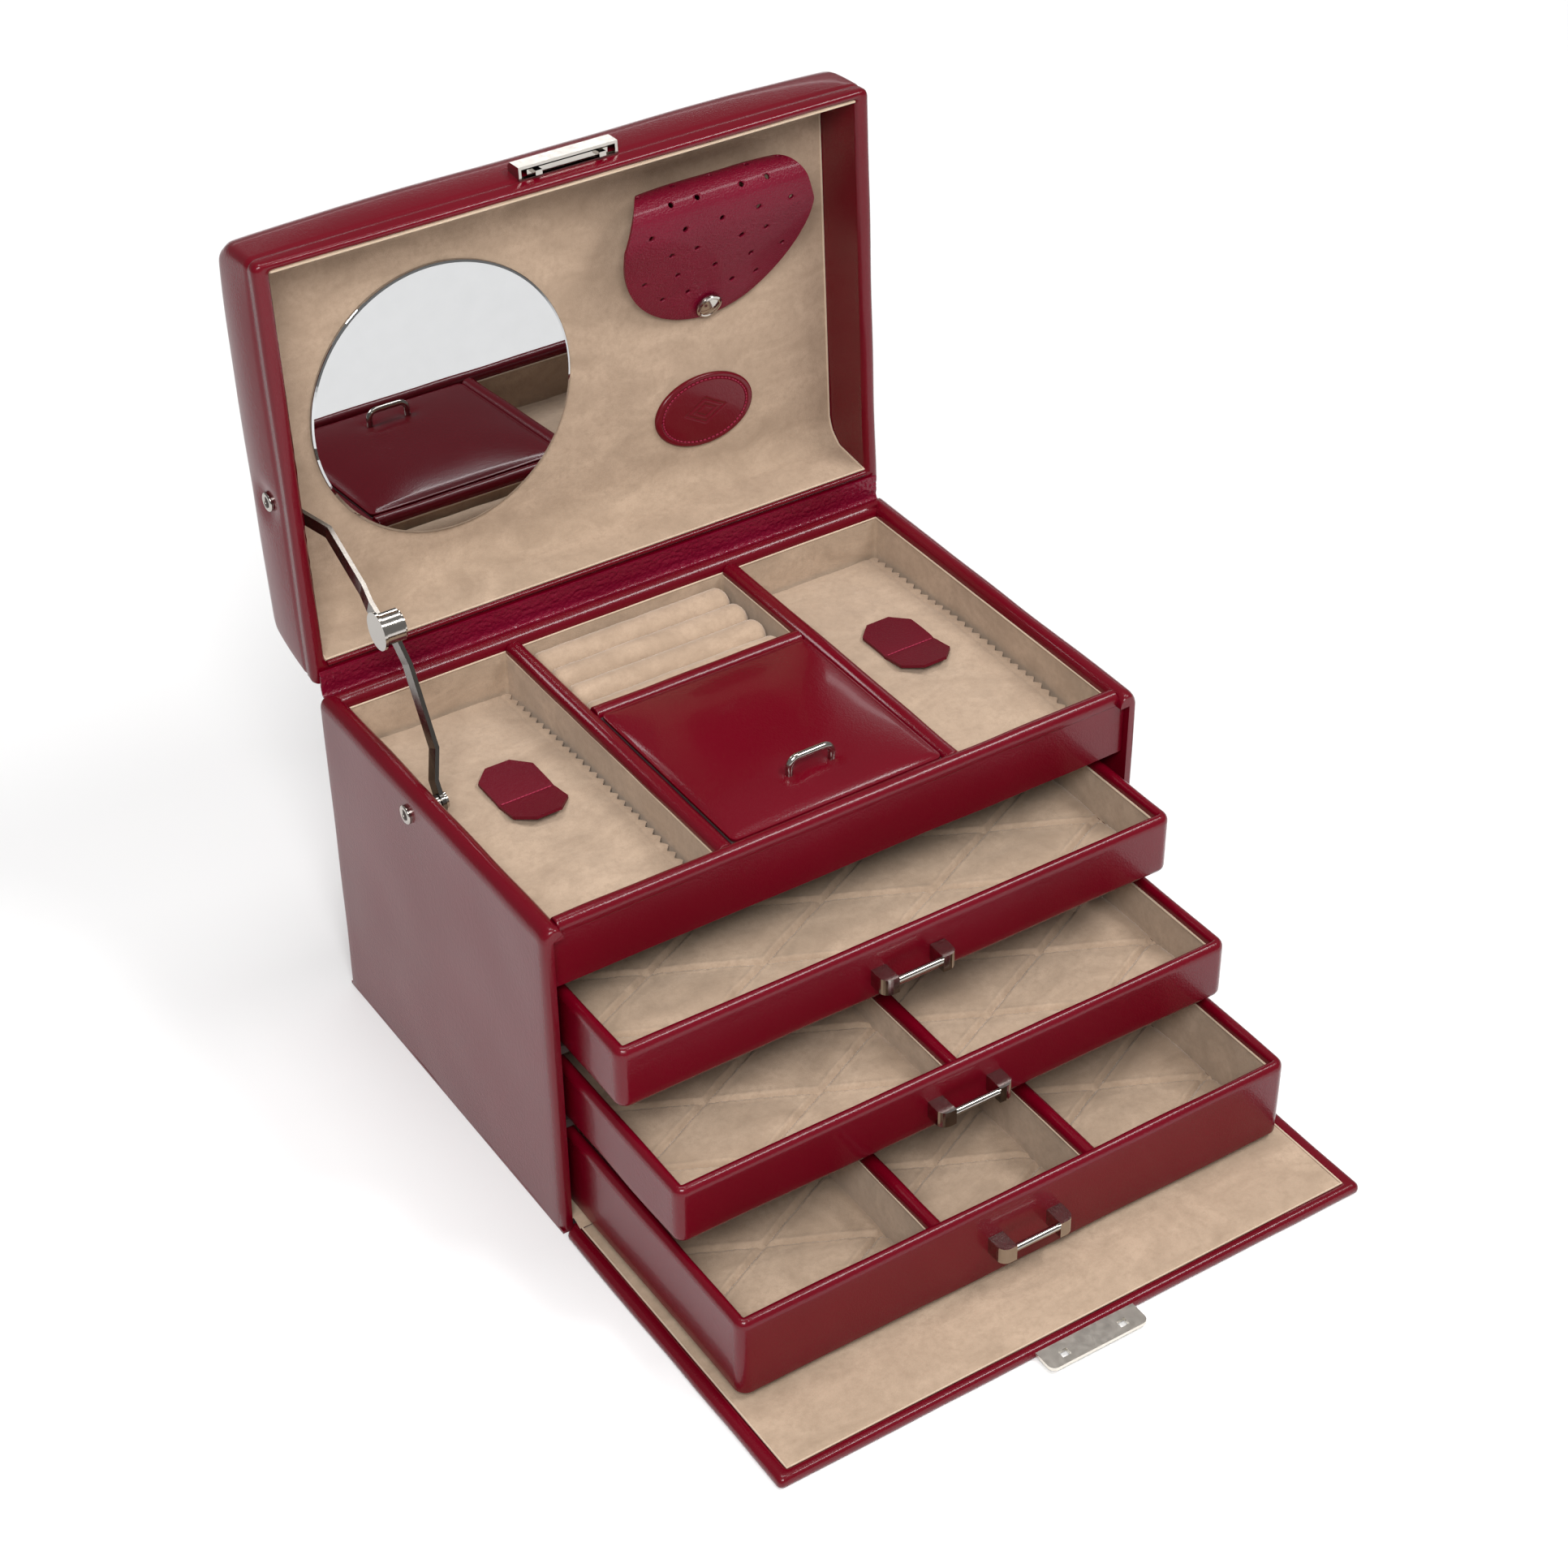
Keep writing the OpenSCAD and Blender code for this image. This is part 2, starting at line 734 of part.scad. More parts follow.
module stay_upper_arm() {
    eye_r = stay_w / 2 + 1;
    color(metal) translate([0, stay_elbow[0], stay_elbow[1]])
        rotate([direction(stay_elbow, stay_lid), 0, 0])
            difference() {
                union() {
                    cranked_arm([[0, stay_up_x], [12, stay_up_x], [20, stay_up_run_x],
                                 [50, stay_up_run_x], [63, stay_eye_x], [stay_l, stay_eye_x]]);
                    arm_eye(0, stay_up_x, eye_r, 0);
                    arm_eye(stay_l, stay_eye_x, eye_r, 0);
                }
                rod_x([0, 0], pin_r + pin_fit, stay_up_x - 2, stay_up_x + 2);
                rod_x([stay_l, 0], pin_r, stay_eye_x - 2, stay_eye_x + 2);
            }
}

// ---- Drawers ----

// Places a drawer's front bottom edge, pulled out to where the drawer stands
module drawer_place(i) {
    translate([0, -half_d - drawer_out[i], drawer_z[i]]) children();
}

// Plan of a drawer set in by o, with round corners
function drawer_plan(o) =
    let (x = drawer_w / 2 - o, r = max(drawer_r - o, 0.6), y0 = o, y1 = drawer_l - o)
    concat(arc([-x + r, y0 + r], r, 180, 270), arc([x - r, y0 + r], r, 270, 360),
        arc([x - r, y1 - r], r, 0, 90), arc([-x + r, y1 - r], r, 90, 180));

module drawer_box(i) {
    h = drawer_h[i];
    color(leather) drawer_place(i) difference() {
        linear_extrude(h) polygon(drawer_plan(0));
        translate([0, 0, drawer_base]) linear_extrude(h) polygon(drawer_plan(drawer_wall));
    }
}

// Height of a drawer's divider over its pad
function divider_high(i) = drawer_h[i] - drawer_rim - drawer_base - pad_t;

// Suede liner with its quilted base, and the suede on the dividers' sides
module drawer_lining(i) {
    h = drawer_h[i] - drawer_rim;
    in = drawer_wall + suede_t;
    side = drawer_divider_t / 2;
    color(suede) drawer_place(i) union() {
        difference() {
            translate([0, 0, drawer_base]) linear_extrude(h - drawer_base) polygon(drawer_plan(drawer_wall));
            translate([0, 0, drawer_base + pad_t]) linear_extrude(h) polygon(drawer_plan(in));
        }
        translate([0, 0, drawer_base + pad_t]) for (x = drawer_dividers[i]) {
            block([x - side, in, 0], [x - side + suede_t, drawer_l - in, divider_high(i) - drawer_divider_cap]);
            block([x + side - suede_t, in, 0], [x + side, drawer_l - in, divider_high(i) - drawer_divider_cap]);
        }
    }
}

// Leather-topped dividers, narrower between their suede sides
module drawer_divider(i) {
    half = drawer_divider_t / 2;
    web = half - suede_t;
    in = drawer_wall + suede_t;
    h = divider_high(i);
    low = h - drawer_divider_cap;
    color(leather) drawer_place(i) for (x = drawer_dividers[i])
        translate([0, 0, drawer_base + pad_t]) along_y(in, drawer_l - in)
            polygon(concat([[x + web, 0], [x + web, low], [x + half, low]],
                arc([x, h - half], half, 0, 180, 8),
                [[x - half, low], [x - web, low], [x - web, 0]]));
}

// Bar between two blocks on the middle of a drawer's front
module drawer_pull(i) {
    low = drawer_h[i] / 2 - pull_tall / 2 - 1.9;
    x = pull_w / 2;
    round_r = 4;
    bar_z = low + pull_tall - 2.6;
    color(metal) drawer_place(i) {
        both_sides() translate([0, 0, low]) linear_extrude(pull_tall)
            polygon(concat([[x - pull_block, 0], [x - pull_block, -pull_deep]],
                arc([x - round_r, -pull_deep + round_r], round_r, 270, 360), [[x, 0]]));
        rod_x([-pull_bar_out, bar_z], pull_bar_r, -x + pull_block, x - pull_block);
    }
}

// ---- Front flap ----

// Space in the flap's free edge for the lock plate
module plate_slot() {
    block([-plate_x - touch, flap_far_y - 1, plate_z], [plate_x + touch, flap_far_y + plate_in, plate_z + plate_t]);
}

module flap_leather() {
    top = flap_t;
    color(leather) difference() {
        block([-half_w, flap_far_y, 0], [half_w, flap_near_y, top]);
        block([-half_w + flap_side, flap_far_y + flap_end, leather_t - touch],
              [half_w - flap_side, flap_near_y + 1, top + 1]);
        plate_slot();
    }
}

module flap_board() {
    color(board) difference() {
        block([-half_w + flap_side, flap_far_y + flap_end, leather_t - touch],
              [half_w - flap_side, flap_core_y, flap_t - suede_t]);
        plate_slot();
    }
}

module flap_lining() {
    color(suede) block([-half_w + flap_side, flap_far_y + flap_end, flap_t - suede_t],
                       [half_w - flap_side, flap_core_y, flap_t]);
}

// Plate that the lock's two hooks catch
module lock_plate() {
    slot_x = 14;
    y0 = flap_far_y - plate_out;
    corner = 3;
    color(metal) difference() {
        translate([0, 0, plate_z]) linear_extrude(plate_t)
            polygon(concat(arc([-plate_x + corner, y0 + corner], corner, 180, 270),
                arc([plate_x - corner, y0 + corner], corner, 270, 360),
                [[plate_x, flap_far_y + plate_in], [-plate_x, flap_far_y + plate_in]]));
        for (side = [-1, 1])
            block([side * slot_x - 2, y0 + 3, plate_z - 1], [side * slot_x + 2, y0 + 6.5, plate_z + 3]);
    }
}

// ---- Inner lid ----

module inner_lid_board() {
    color(board) difference() {
        block([-inner_x0, inner_front_y, inner_board_low], [inner_x0, inner_lid_y, inner_board_high]);
        rod_x([inner_pin_y, inner_pin_z], inner_pin_r, -inner_x0 - 1, inner_x0 + 1);
    }
}

// Crowned pad, lowest along its rear edge so that it swings clear of the cross divider
module inner_lid_pad() {
    edge = 2;
    low = inner_board_high;
    color(leather) intersection() {
        along_x(-inner_x0, inner_x0) polygon([[inner_front_y, low], [inner_front_y, low + 1.4],
            [inner_front_y + edge, inner_high - 0.4], [inner_front_y + 12, inner_high],
            [inner_lid_y - 16, inner_high], [inner_lid_y - 4, low + 1.6], [inner_lid_y, low + 0.4],
            [inner_lid_y, low]]);
        along_y(inner_front_y, inner_lid_y) polygon([[-inner_x0, low], [-inner_x0, low + 1.4],
            [-inner_x0 + edge, inner_high - 0.4], [-inner_x0 + 12, inner_high],
            [inner_x0 - 12, inner_high], [inner_x0 - edge, inner_high - 0.4], [inner_x0, low + 1.4],
            [inner_x0, low]]);
    }
}

// Wire handle, a loop that stands on the inner lid
module inner_lid_handle() {
    wire_r = 1.5;
    foot_x = 10;
    foot_y = -61;
    bend_r = 4;
    top = inner_high + 9;
    color(metal) translate([0, foot_y, 0]) {
        both_sides() {
            translate([foot_x, 0, inner_high]) cylinder(r = wire_r, h = top - bend_r - inner_high);
            translate([foot_x - bend_r, 0, top - bend_r]) rotate([90, 0, 0])
                rotate_extrude(angle = 90) translate([bend_r, 0]) circle(r = wire_r);
        }
        rod_x([0, top], wire_r, -foot_x + bend_r, foot_x - bend_r);
    }
}

module inner_lid_pins() {
    color(metal) both_sides() rod_x([inner_pin_y, inner_pin_z], inner_pin_r, inner_x0 - 8, centre_x + 3.5);
}

// ---- Cover cloths ----

// A cloth that lies low at the back and the front and rises in the middle
module cover_cloth(x) {
    y0 = cloth_y[0];
    y1 = cloth_y[1];
    steps = 10;
    rise = 3;
    low = [for (i = [0:steps]) let (t = i / steps) [y0 + (y1 - y0) * t, cloth_back_z - 1 + t + rise * sin(180 * t)]];
    high = [for (p = low) [p[0], p[1] + cloth_t]];
    color(suede) along_x(x[0], x[1]) polygon(concat(low, reversed(high)));
}

// Leather pull tab sewn to a cloth, its front half bent up
module cover_tab(x) {
    half = 12.7;
    corner = 7;
    t = 1.2;
    back = 34;
    front = -9;
    base = cloth_back_z + 4.1;
    lift = 9;
    color(leather) intersection() {
        along_x(x - half, x + half) polygon([[back, base - 0.6], [10, base], [front, base + lift],
            [front, base + lift + t], [10, base + t], [back, base + t - 0.6]]);
        linear_extrude(case_h) polygon([[x - half, front + corner], [x - half + corner, front],
            [x + half - corner, front], [x + half, front + corner], [x + half, back - corner],
            [x + half - corner, back], [x - half + corner, back], [x - half, back - corner]]);
    }
}

base_cover();
base_board();
floor_lining();
side_wall_boards();
side_wall_leather();
back_wall_board();
back_wall_leather();
tray_floor();
tray_frame();
tray_front();
long_dividers();
cross_divider();
tray_linings();
ring_rolls();
inner_lid_ledges();
drawer_shelves();
drawer_guides();
stay_body_rivet();
lid_hinge_strip();
flap_hinge_strip();
lid_frame();
lid_top_board();
lid_padding();
lid_leather();
lid_lining();
lid_mirror();
lid_badge();
earring_backing();
earring_snap_stud();
lock_case();
stay_lid_rivet();
earring_flap();
earring_snap_cap();
lock_latch();
stay_lower_arm();
stay_elbow_cover();
stay_upper_arm();
drawer_box(0);  // drawer_1_box
drawer_lining(0);  // drawer_1_lining
drawer_pull(0);  // drawer_1_pull
drawer_box(1);  // drawer_2_box
drawer_lining(1);  // drawer_2_lining
drawer_divider(1);  // drawer_2_divider
drawer_pull(1);  // drawer_2_pull
drawer_box(2);  // drawer_3_box
drawer_lining(2);  // drawer_3_lining
drawer_divider(2);  // drawer_3_dividers
drawer_pull(2);  // drawer_3_pull
flap_board();
flap_leather();
flap_lining();
lock_plate();
inner_lid_board();
inner_lid_pad();
inner_lid_handle();
inner_lid_pins();
cover_cloth(cloth_left);  // left_cover_cloth
cover_tab(tab_left_x);  // left_cover_tab
cover_cloth(cloth_right);  // right_cover_cloth
cover_tab(tab_right_x);  // right_cover_tab
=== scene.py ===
"""Leather jewellery case: the looks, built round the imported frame.

Lengths are millimetres in the frame's axes, and become metres in solid(). The lid's
pieces are shaped shut and swung open by open_lid().
"""

import json
from math import atan2, copysign, cos, degrees, exp, hypot, pi, radians, sin, sqrt

import bmesh
import bpy
from mathutils import Matrix, Vector, noise


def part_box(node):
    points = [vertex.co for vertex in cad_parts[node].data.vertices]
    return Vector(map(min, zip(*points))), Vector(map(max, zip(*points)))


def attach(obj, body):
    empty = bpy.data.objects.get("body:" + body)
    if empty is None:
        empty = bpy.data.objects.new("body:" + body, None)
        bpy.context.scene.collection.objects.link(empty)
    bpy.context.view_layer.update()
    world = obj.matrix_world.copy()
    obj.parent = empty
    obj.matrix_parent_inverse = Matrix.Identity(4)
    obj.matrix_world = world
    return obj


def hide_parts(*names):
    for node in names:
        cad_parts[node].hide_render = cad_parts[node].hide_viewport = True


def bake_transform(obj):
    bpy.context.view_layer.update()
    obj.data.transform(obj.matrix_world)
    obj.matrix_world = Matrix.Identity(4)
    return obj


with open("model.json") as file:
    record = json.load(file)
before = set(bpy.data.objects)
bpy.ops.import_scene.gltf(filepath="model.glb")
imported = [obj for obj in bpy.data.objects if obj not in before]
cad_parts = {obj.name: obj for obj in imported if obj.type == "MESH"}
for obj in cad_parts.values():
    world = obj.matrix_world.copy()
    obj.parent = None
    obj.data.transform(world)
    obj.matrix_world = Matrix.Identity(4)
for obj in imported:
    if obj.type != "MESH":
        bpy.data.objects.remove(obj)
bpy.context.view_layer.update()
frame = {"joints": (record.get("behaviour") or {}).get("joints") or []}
MM = 0.001
SHARP = 40
joints = {j["name"]: j for j in frame["joints"]}


def box_mm(node):
    """Lowest and highest corner of a CAD node, in millimetres."""
    lo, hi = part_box(node)
    return [v / MM for v in lo], [v / MM for v in hi]


# ---- Sizes that the whole object shares, read from the frame ----

case_hi = box_mm("side_wall_leather")[1]
back_lo, back_hi = box_mm("back_wall_leather")
HALF_W = case_hi[0]
HALF_D = back_hi[1]
CASE_H = case_hi[2]
INNER_X = box_mm("base_board")[1][0]
RIM_X = box_mm("lid_hinge_strip")[1][0]
RIM_Y = back_lo[1]
WALL = HALF_W - INNER_X
RIM = HALF_W - RIM_X
FRONT_LO, FRONT_HI = box_mm("tray_front")
TRAY_Z = box_mm("tray_floor")[1][2]
DIVIDER_HI = box_mm("long_dividers")[1]
CROSS_LO, CROSS_HI = box_mm("cross_divider")
SUEDE = 0.8

HINGE = [v / MM for v in joints["lid_hinge"]["pos_m"]]
LID_OPEN = radians(joints["lid_hinge"]["range_deg"][1])
LID_Z = CASE_H + 0.8
LID_H = 42.0
LID_ROOM = 28.0
LID_END = 6.0
LID_FRONT_S = 186.0
LID_INNER_X = HALF_W - LID_END - 0.7
STAY_BODY = (15.6, 142.5)
STAY_LID = (14.5, 174.0)

# Length over which a side wall's front edge is rounded.
NOSE = 4.5


# ---- Camera, light and floor ----

CAMERA_AT = (-0.5474, -0.8882, 0.8935)
CAMERA_ANGLES = (32.88, 37.59, -0.6)
CAMERA_LENS = 71.86
CAMERA_SHIFT = 0.0212
LIGHTS = [("key", (-0.85, -1.25, 1.6), (0.03, 0.0, 0.1), (0.9, 0.6), 36.0),
          ("strip", (0.75, -0.65, 1.5), (0.03, 0.0, 0.1), (0.8, 0.22), 14.0),
          ("top", (0.1, 0.2, 2.3), (0.05, 0.0, 0.1), (1.1, 0.5), 14.0),
          ("far floor", (0.9, 2.0, 1.1), (1.0, 2.3, 0.0), (2.6, 1.0), 34.0)]


def make_camera():
    """The photo's camera, from its azimuth, elevation and roll in degrees."""
    data = bpy.data.cameras.new("camera")
    cam = bpy.data.objects.new("camera", data)
    bpy.context.scene.collection.objects.link(cam)
    azimuth, elevation, roll = (radians(a) for a in CAMERA_ANGLES)
    forward = Vector((sin(azimuth) * cos(elevation),
                      cos(azimuth) * cos(elevation), -sin(elevation)))
    right = Vector((cos(azimuth), -sin(azimuth), 0.0))
    up = right.cross(forward)
    right, up = (right * cos(roll) + up * sin(roll),
                 up * cos(roll) - right * sin(roll))
    turn = Matrix((right, up, -forward)).transposed().to_4x4()
    cam.matrix_world = Matrix.Translation(CAMERA_AT) @ turn
    data.sensor_width = 36.0
    data.lens = CAMERA_LENS
    data.shift_y = CAMERA_SHIFT
    data.clip_start = 0.05
    data.clip_end = 50.0
    bpy.context.scene.camera = cam


def area_light(name, at, aim, size, power):
    """A white rectangular light at one point, aimed at another."""
    data = bpy.data.lights.new(name, "AREA")
    data.shape = "RECTANGLE"
    data.size, data.size_y = size
    data.energy = power
    light = bpy.data.objects.new(name, data)
    light.location = at
    light.rotation_mode = "QUATERNION"
    light.rotation_quaternion = (Vector(aim) - Vector(at)).to_track_quat("-Z", "Y")
    bpy.context.scene.collection.objects.link(light)


def make_studio():
    """A dim, slightly warm surrounding and the four lights."""
    scene = bpy.context.scene
    scene.view_settings.view_transform = "Standard"
    world = bpy.data.worlds.new("studio")
    world.use_nodes = True
    background = world.node_tree.nodes["Background"]
    background.inputs["Color"].default_value = (1.0, 0.99, 0.98, 1.0)
    background.inputs["Strength"].default_value = 0.26
    scene.world = world
    for light in LIGHTS:
        area_light(*light)


def make_floor():
    """The plain white floor, staged so that it isn't part of the object."""
    mesh = bpy.data.meshes.new("floor")
    r = 6.0
    mesh.from_pydata([(-r, -r, 0), (r, -r, 0), (r, r, 0), (-r, r, 0)], [], [(0, 1, 2, 3)])
    floor = bpy.data.objects.new("floor", mesh)
    bpy.context.scene.collection.objects.link(floor)
    floor.location.z = -0.0002
    n = Nodes("floor_white")
    n.set("Base Color", (0.93, 0.93, 0.93, 1.0))
    n.set("Roughness", 0.9)
    n.set("Specular IOR Level", 0.1)
    mesh.materials.append(n.mat)


# ---- Materials ----

class Nodes:
    """Short forms for building one procedural material."""

    def __init__(self, name):
        self.mat = bpy.data.materials.new(name)
        self.mat.use_nodes = True
        self.tree = self.mat.node_tree
        self.shader = self.tree.nodes["Principled BSDF"]
        self.coord = self.tree.nodes.new("ShaderNodeTexCoord").outputs["Object"]

    def add(self, kind, values, **props):
        node = self.tree.nodes.new(kind)
        for key, value in props.items():
            setattr(node, key, value)
        for key, value in values.items():
            node.inputs[key].default_value = value
        return node

    def link(self, a, b):
        self.tree.links.new(a, b)

    def set(self, name, value):
        self.shader.inputs[name].default_value = value

    def feed(self, name, source):
        self.link(source, self.shader.inputs[name])

    def noise(self, scale, detail=4.0, rough=0.55, stretch=None, distortion=0.0):
        values = {"Scale": scale, "Detail": detail, "Roughness": rough, "Distortion": distortion}
        node = self.add("ShaderNodeTexNoise", values)
        source = self.coord
        if stretch:
            mapping = self.add("ShaderNodeMapping", {"Scale": stretch})
            self.link(self.coord, mapping.inputs["Vector"])
            source = mapping.outputs["Vector"]
        self.link(source, node.inputs["Vector"])
        return node.outputs["Fac"]

    def cells(self, scale):
        node = self.add("ShaderNodeTexVoronoi", {"Scale": scale})
        self.link(self.coord, node.inputs["Vector"])
        return node.outputs["Distance"]

    def ramp(self, source, stops):
        node = self.add("ShaderNodeValToRGB", {})
        elements = node.color_ramp.elements
        while len(elements) < len(stops):
            elements.new(0.5)
        for element, (at, colour) in zip(elements, stops):
            element.position = at
            element.color = (*colour, 1.0)
        self.link(source, node.inputs["Fac"])
        return node.outputs["Color"]

    def mix(self, a, b, factor):
        """a and b are colours or sockets, factor a number or a socket."""
        node = self.add("ShaderNodeMix", {}, data_type="RGBA")
        for value, socket in ((factor, node.inputs[0]), (a, node.inputs[6]), (b, node.inputs[7])):
            if isinstance(value, bpy.types.NodeSocket):
                self.link(value, socket)
            elif isinstance(value, tuple):
                socket.default_value = (*value, 1.0)
            else:
                socket.default_value = value
        return node.outputs[2]

    def span(self, source, low, high):
        """Maps a 0 to 1 factor onto low to high."""
        node = self.add("ShaderNodeMapRange", {"To Min": low, "To Max": high})
        self.link(source, node.inputs["Value"])
        return node.outputs["Result"]

    def bump(self, source, height, under=None):
        node = self.add("ShaderNodeBump", {"Distance": height})
        self.link(source, node.inputs["Height"])
        if under is not None:
            self.link(under, node.inputs["Normal"])
        return node.outputs["Normal"]


def leather_material(name, light, dark, gloss=0.25, grain=0.00005, coat=0.22):
    """Dyed leather: faint patches of tone, pores under a fine wrinkle, a thin coat."""
    n = Nodes(name)
    patch = n.noise(14.0, 3.0)
    fine = n.noise(900.0, 3.0)
    colour = n.ramp(patch, [(0.3, dark), (0.72, light)])
    n.feed("Base Color", n.mix(colour, dark, n.span(fine, 0.0, 0.35)))
    n.feed("Roughness", n.span(n.noise(25.0, 3.0), gloss - 0.02, gloss + 0.04))
    n.set("Specular IOR Level", 0.21)
    n.set("Coat Weight", coat)
    n.set("Coat Roughness", 0.09)
    pores = n.bump(n.cells(1300.0), grain)
    n.feed("Normal", n.bump(n.noise(420.0, 4.0, 0.6), grain * 1.2, pores))
    return n.mat, "leather"


def suede_material(name, light, dark, nap=1.0, slot="suede"):
    """Suede: smudged and mottled, brushed by nap, with a soft sheen and a pile."""
    n = Nodes(name)
    smudge = n.noise(30.0, 8.0, 0.62, stretch=(1.0, 1.6, 1.8), distortion=0.9)
    brushed = n.noise(110.0, 6.0, 0.65, stretch=(1.0, 0.35, 1.0), distortion=1.2)
    fibre = n.noise(2400.0, 2.0)
    mottle = n.noise(330.0, 5.0, 0.7)
    base = n.ramp(smudge, [(0.26, dark), (0.66, light)])
    base = n.mix(base, dark, n.ramp(mottle, [(0.45, (0.0, 0.0, 0.0)), (0.75, (0.7, 0.7, 0.7))]))
    base = n.mix(base, light, n.span(brushed, 0.0, 0.45 * nap))
    base = n.mix(base, dark, n.span(fibre, 0.0, 0.45))
    n.feed("Base Color", base)
    n.set("Roughness", 0.92)
    n.set("Specular IOR Level", 0.15)
    n.set("Sheen Weight", 0.35)
    n.set("Sheen Roughness", 0.45)
    n.set("Sheen Tint", (1.0, 0.92, 0.83, 1.0))
    pile = n.bump(fibre, 0.00012)
    n.feed("Normal", n.bump(n.noise(240.0, 5.0, 0.65), 0.0002, pile))
    return n.mat, slot


def metal_material(name, colour, rough, ripple=0.00001, slot="metal"):
    """Plated metal with a slight haze and ripple."""
    n = Nodes(name)
    n.set("Metallic", 1.0)
    haze = n.noise(120.0, 4.0)
    n.feed("Base Color", n.mix(colour, tuple(c * 0.86 for c in colour), n.span(haze, 0.0, 0.5)))
    n.feed("Roughness", n.span(n.noise(300.0, 3.0), rough * 0.7, rough * 1.5))
    if ripple:
        n.feed("Normal", n.bump(n.noise(500.0, 3.0), ripple))
    return n.mat, slot


def board_material(name, light, dark):
    """Matt board in near-black tones, which also serve as painted shade."""
    n = Nodes(name)
    n.feed("Base Color", n.ramp(n.noise(180.0, 6.0), [(0.35, dark), (0.7, light)]))
    n.set("Roughness", 0.85)
    n.feed("Normal", n.bump(n.noise(700.0, 4.0), 0.00008))
    return n.mat, "board"


# Each look is a material and the name of its slot.
CRIMSON = leather_material("crimson_leather", (0.125, 0.0003, 0.0075), (0.106, 0.0002, 0.0055))
TAB = leather_material("tab_leather", (0.120, 0.0008, 0.010), (0.085, 0.0006, 0.007), 0.5, 0.0001, 0.0)
CREASED = leather_material("hinge_leather", (0.20, 0.004, 0.026), (0.13, 0.001, 0.013), 0.32, 0.0002)
PEBBLED = leather_material("pebbled_leather", (0.165, 0.003, 0.020), (0.12, 0.001, 0.012),
                           0.40, 0.00022, 0.08)
BEIGE = suede_material("beige_suede", (0.52, 0.385, 0.28), (0.285, 0.203, 0.14))
CLOTH = suede_material("cover_suede", (0.50, 0.375, 0.275), (0.26, 0.185, 0.13), 1.4, "cover_cloth")
EDGE = suede_material("suede_piping", (0.60, 0.47, 0.35), (0.48, 0.365, 0.265), 0.6)
NICKEL = metal_material("nickel", (0.47, 0.44, 0.405), 0.11)
PLATE = metal_material("lock_metal", (0.72, 0.68, 0.61), 0.32)
STEEL = metal_material("stay_steel", (0.20, 0.183, 0.165), 0.15)
GLASS = metal_material("mirror_glass", (0.52, 0.525, 0.53), 0.006, 0.0, "mirror")
# Near-black board: a real board, darkened to stand as painted shade in the drawer bay's gaps and the
# eyelets' holes.
BOARD_AND_SHADE = board_material("board_and_painted_shade", (0.055, 0.035, 0.030), (0.030, 0.018, 0.016))
THREAD = leather_material("crimson_thread", (0.36, 0.03, 0.07), (0.25, 0.012, 0.04), 0.5)


# ---- Mesh helpers ----

def soften(obj, width, angle):
    """A small bevel, in millimetres, on edges sharper than angle degrees."""
    modifier = obj.modifiers.new("edge", "BEVEL")
    modifier.width = width * MM
    modifier.segments = 3
    modifier.limit_method = "ANGLE"
    modifier.angle_limit = radians(angle)


def solid(name, verts, faces, body, material, slot=None, replaces=(), bevel=0.0, smooth=True,
          wobble=None, thick=0.0, ride=True):
    """One mesh piece from points in millimetres. wobble is soft noise's (amount, scale)."""
    points = [Vector(p) for p in verts]
    mesh = bpy.data.meshes.new(name)
    mesh.from_pydata([p * MM for p in points], [], faces)
    mesh.update()
    bm = bmesh.new()
    bm.from_mesh(mesh)
    bmesh.ops.remove_doubles(bm, verts=bm.verts, dist=1e-6)
    bmesh.ops.recalc_face_normals(bm, faces=bm.faces)
    if thick:
        bmesh.ops.solidify(bm, geom=bm.faces[:], thickness=thick * MM)
    bm.to_mesh(mesh)
    bm.free()
    if wobble:
        amount, scale = wobble
        normals = [v.normal.copy() for v in mesh.vertices]
        for v, normal in zip(mesh.vertices, normals):
            v.co += normal * (amount * MM * noise.noise(v.co / (scale * MM)))
    obj = bpy.data.objects.new(name, mesh)
    bpy.context.scene.collection.objects.link(obj)
    mesh.materials.append(material)
    for polygon in mesh.polygons:
        polygon.use_smooth = smooth
    if smooth:
        mesh.set_sharp_from_angle(angle=radians(SHARP))
    if bevel:
        soften(obj, bevel, SHARP)
    if ride:
        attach(obj, body)
    if replaces:
        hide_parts(*replaces)
    return obj


def loft(rings, cap_start=True, cap_end=True):
    """Points and faces that join rings of equal length, one to the next."""
    n = len(rings[0])
    verts = [p for ring in rings for p in ring]
    faces = []
    for i in range(len(rings) - 1):
        for j in range(n):
            k = (j + 1) % n
            faces.append((i * n + j, i * n + k, (i + 1) * n + k, (i + 1) * n + j))
    if cap_start:
        faces.append(tuple(reversed(range(n))))
    if cap_end:
        faces.append(tuple(range(len(verts) - n, len(verts))))
    return verts, faces


def join(*parts):
    """Several (points, faces) pairs as one."""
    verts, faces = [], []
    for part_verts, part_faces in parts:
        shift = len(verts)
        verts += part_verts
        faces += [tuple(i + shift for i in face) for face in part_faces]
    return verts, faces


def steps(a, b, n):
    """Even steps from a to b, both ends included."""
    return [a + (b - a) * i / n for i in range(n + 1)]


def arc_steps(a, b, n):
    """Steps that crowd towards both ends."""
    return [(a + b) / 2 - (b - a) / 2 * cos(pi * i / n) for i in range(n + 1)]


def turns(n):
    """The n angles of a full turn."""
    return [2 * pi * i / n for i in range(n)]


def toward(a, b, t):
    """The point a share t of the way from a to b."""
    return tuple(p + (q - p) * t for p, q in zip(a, b))


def between(points, k):
    """The point at place k along a list of points, where k may fall between two."""
    i = min(int(k), len(points) - 2)
    return toward(points[i], points[i + 1], k - i)


def arc(centre, r, start, end, count):
    """Points of an arc in degrees, as (u, v)."""
    angles = [radians(a) for a in steps(start, end, count)]
    return [(centre[0] + r * cos(a), centre[1] + r * sin(a)) for a in angles]


